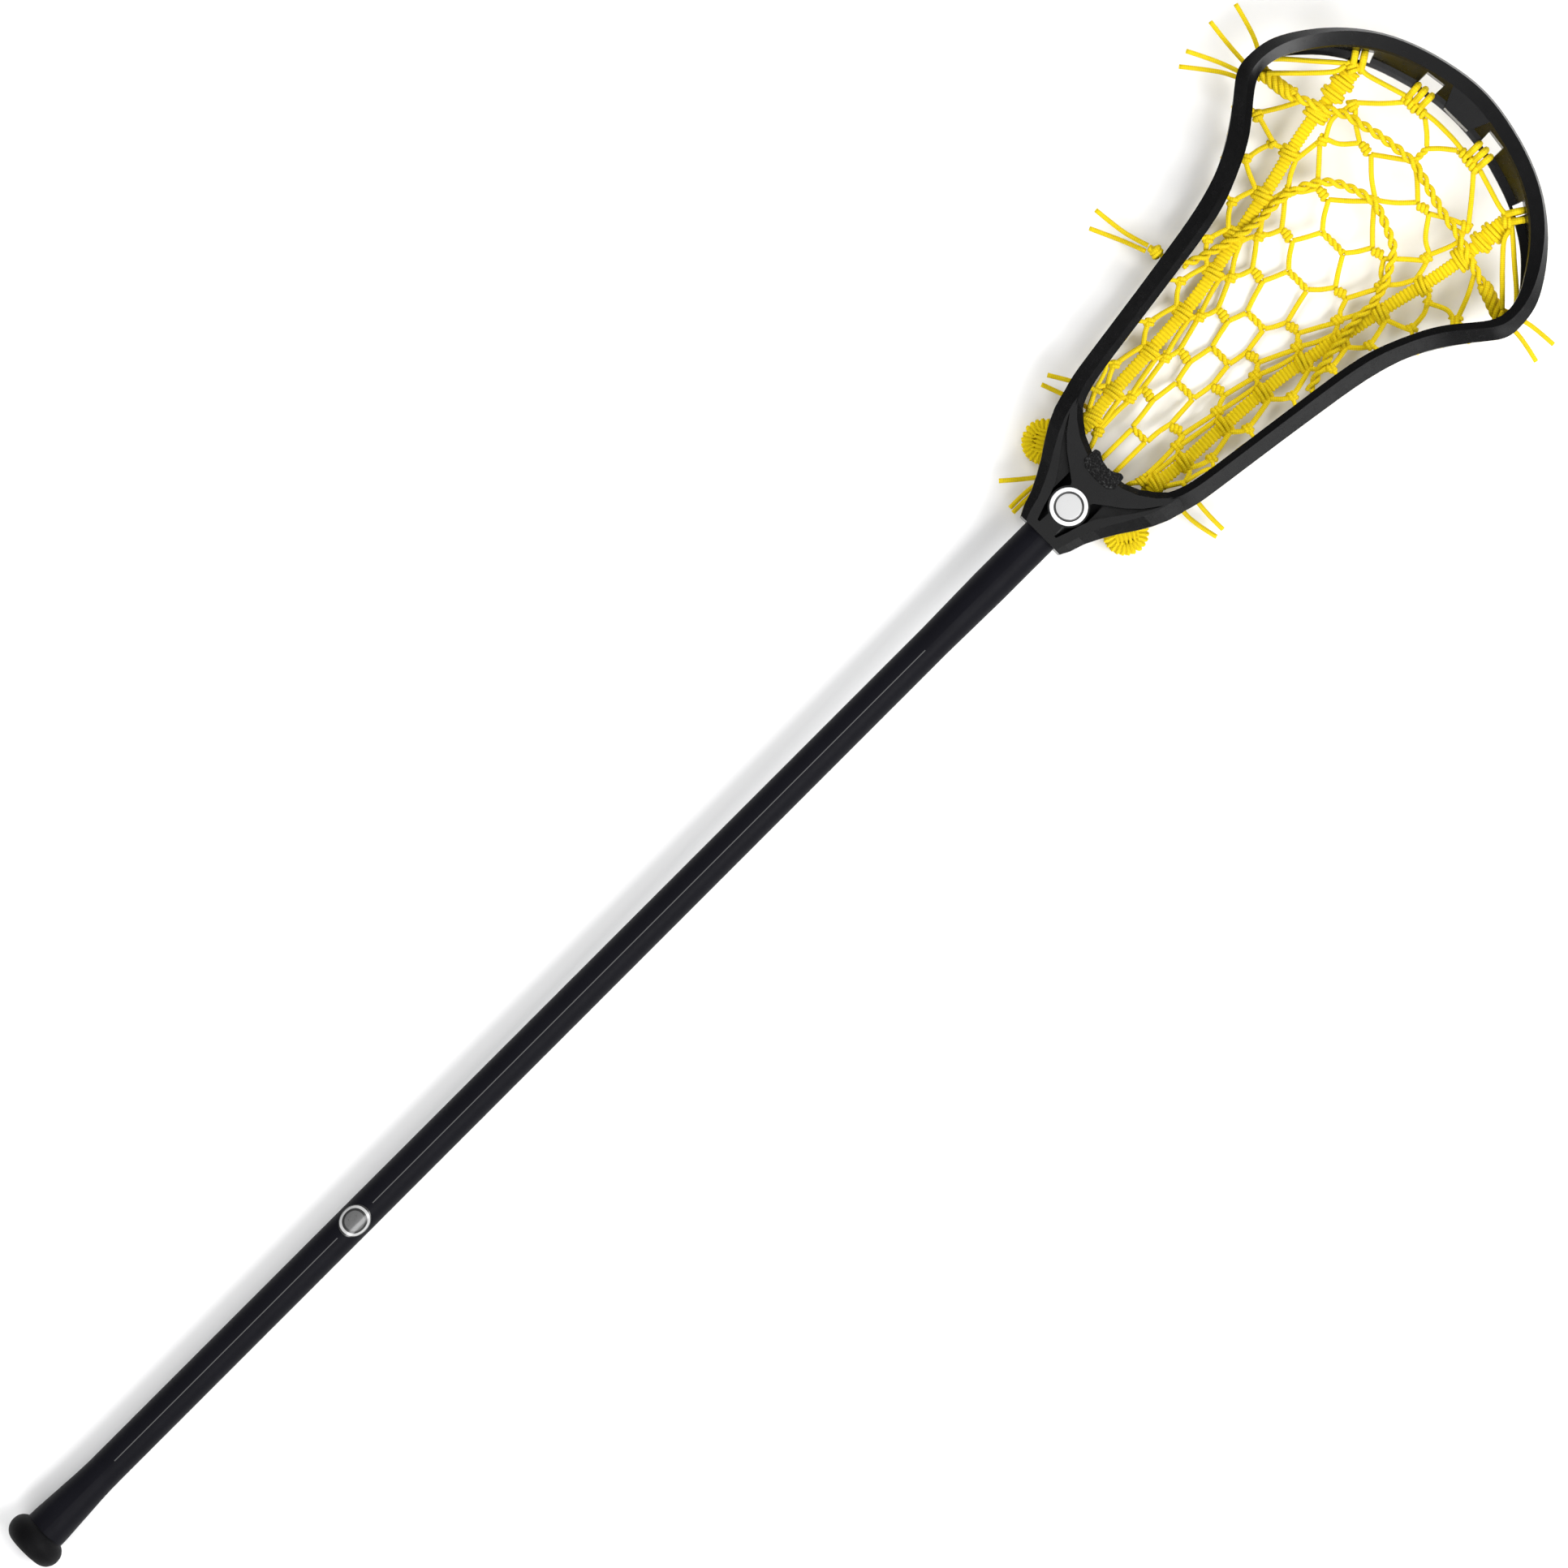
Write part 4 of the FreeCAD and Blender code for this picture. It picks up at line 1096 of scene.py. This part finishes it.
def make_throat_badge():
    """A domed round badge with a raised rim and a groove inside it."""
    middle = Vector((THROAT_BADGE_X, 0.0, DOME_Z))
    angles = [2 * math.pi * k / DOME_SIDES for k in range(DOME_SIDES)]
    build = bmesh.new()
    hub = build.verts.new((middle + Vector((0, 0, DOME[0][1]))) * MM)
    base = build.verts.new(middle * MM)
    rings = []
    for r, z in DOME[1:]:
        ring = [(middle + Vector((r * math.cos(a), r * math.sin(a), z))) * MM for a in angles]
        rings.append([build.verts.new(place) for place in ring])
    for k in range(DOME_SIDES):
        j = (k + 1) % DOME_SIDES
        build.faces.new((hub, rings[0][k], rings[0][j]))
        build.faces.new((base, rings[-1][j], rings[-1][k]))
        for inner, outer in zip(rings, rings[1:]):
            build.faces.new((inner[k], outer[k], outer[j], inner[j]))
    rings_material = badge_material("throat_badge_rings", THROAT_BADGE_X, THROAT_BADGE_R, False, THROAT_BANDS)
    badge = finish_mesh(build, "badge_dome", rings_material)
    for face in badge.data.polygons:
        face.use_smooth = True
    settle(badge, "badge", "throat_badge")


make_ball_stop()
make_throat_badge()


# ---------------------------------------------------------------- CAD nodes that stay
def give(node, material):
    """Gives a CAD node its material."""
    mesh = nodes[node].data
    mesh.materials.clear()
    mesh.materials.append(material)


give("shaft_tube", shaft_material())
give("end_cap", rubber_material())
give("head_frame", head_material())
give("head_screw", screw_material())
give("shaft_badge", badge_material("shaft_badge_rings", SHAFT_BADGE_X, SHAFT_BADGE_R, True, SHAFT_BANDS))


# ---------------------------------------------------------------- floor and light
# Where the floor touches the stick, and half its size in metres.
KNOB_LOW = Vector((9.0, 0.0, -16.6))
POCKET_LOW = Vector((905.0, 0.0, -32.4))
FLOOR_HALF = 6.0


def make_floor():
    """A pale floor that touches the knob and the lowest part of the pocket."""
    s = FLOOR_HALF
    mesh = bpy.data.meshes.new("floor")
    mesh.from_pydata([(-s, -s, 0), (s, -s, 0), (s, s, 0), (-s, s, 0)], [], [(0, 1, 2, 3)])
    mesh.materials.append(floor_material())
    floor = bpy.data.objects.new("floor", mesh)
    floor.location = KNOB_LOW * MM
    floor.rotation_euler = (0, math.atan2(KNOB_LOW.z - POCKET_LOW.z, POCKET_LOW.x - KNOB_LOW.x), 0)
    bpy.context.scene.collection.objects.link(floor)


# The place on the stick that every light points at, in metres.
LIGHT_AIM = Vector((0.75, 0.0, 0.0))


def make_light(name, place, size, power, reflected=True):
    """A soft light aimed at the stick. Its place and size are in metres, and its power is in watts."""
    data = bpy.data.lights.new(name, "AREA")
    data.shape = "RECTANGLE"
    data.size = size[0]
    data.size_y = size[1]
    data.energy = power
    light = bpy.data.objects.new(name, data)
    light.location = place
    aim = LIGHT_AIM - Vector(place)
    light.rotation_euler = aim.to_track_quat("-Z", "Y").to_euler()
    light.visible_glossy = reflected
    bpy.context.scene.collection.objects.link(light)


def make_world():
    world = bpy.data.worlds.new("studio")
    world.use_nodes = True
    background = world.node_tree.nodes["Background"]
    background.inputs["Color"].default_value = (0.95, 0.97, 1.0, 1.0)
    background.inputs["Strength"].default_value = 0.10
    bpy.context.scene.world = world
    view = bpy.context.scene.view_settings
    view.view_transform = "Standard"
    view.look = "None"
    view.exposure = 0.0


make_floor()
make_light("key", (0.75, -1.1, 1.5), (1.6, 0.9), 44.0)
make_light("edge", (0.8, -2.2, 0.35), (1.8, 0.25), 6.5)
make_light("left", (0.7, 1.2, 1.6), (1.6, 0.9), 23.0, reflected=False)
make_light("top", (0.85, -0.1, 2.6), (1.4, 0.9), 6.0)
make_light("tip", (2.7, 0.1, 1.1), (1.2, 1.2), 22.0)
make_light("butt", (-1.3, -0.3, 1.2), (1.2, 1.2), 20.0)
make_world()
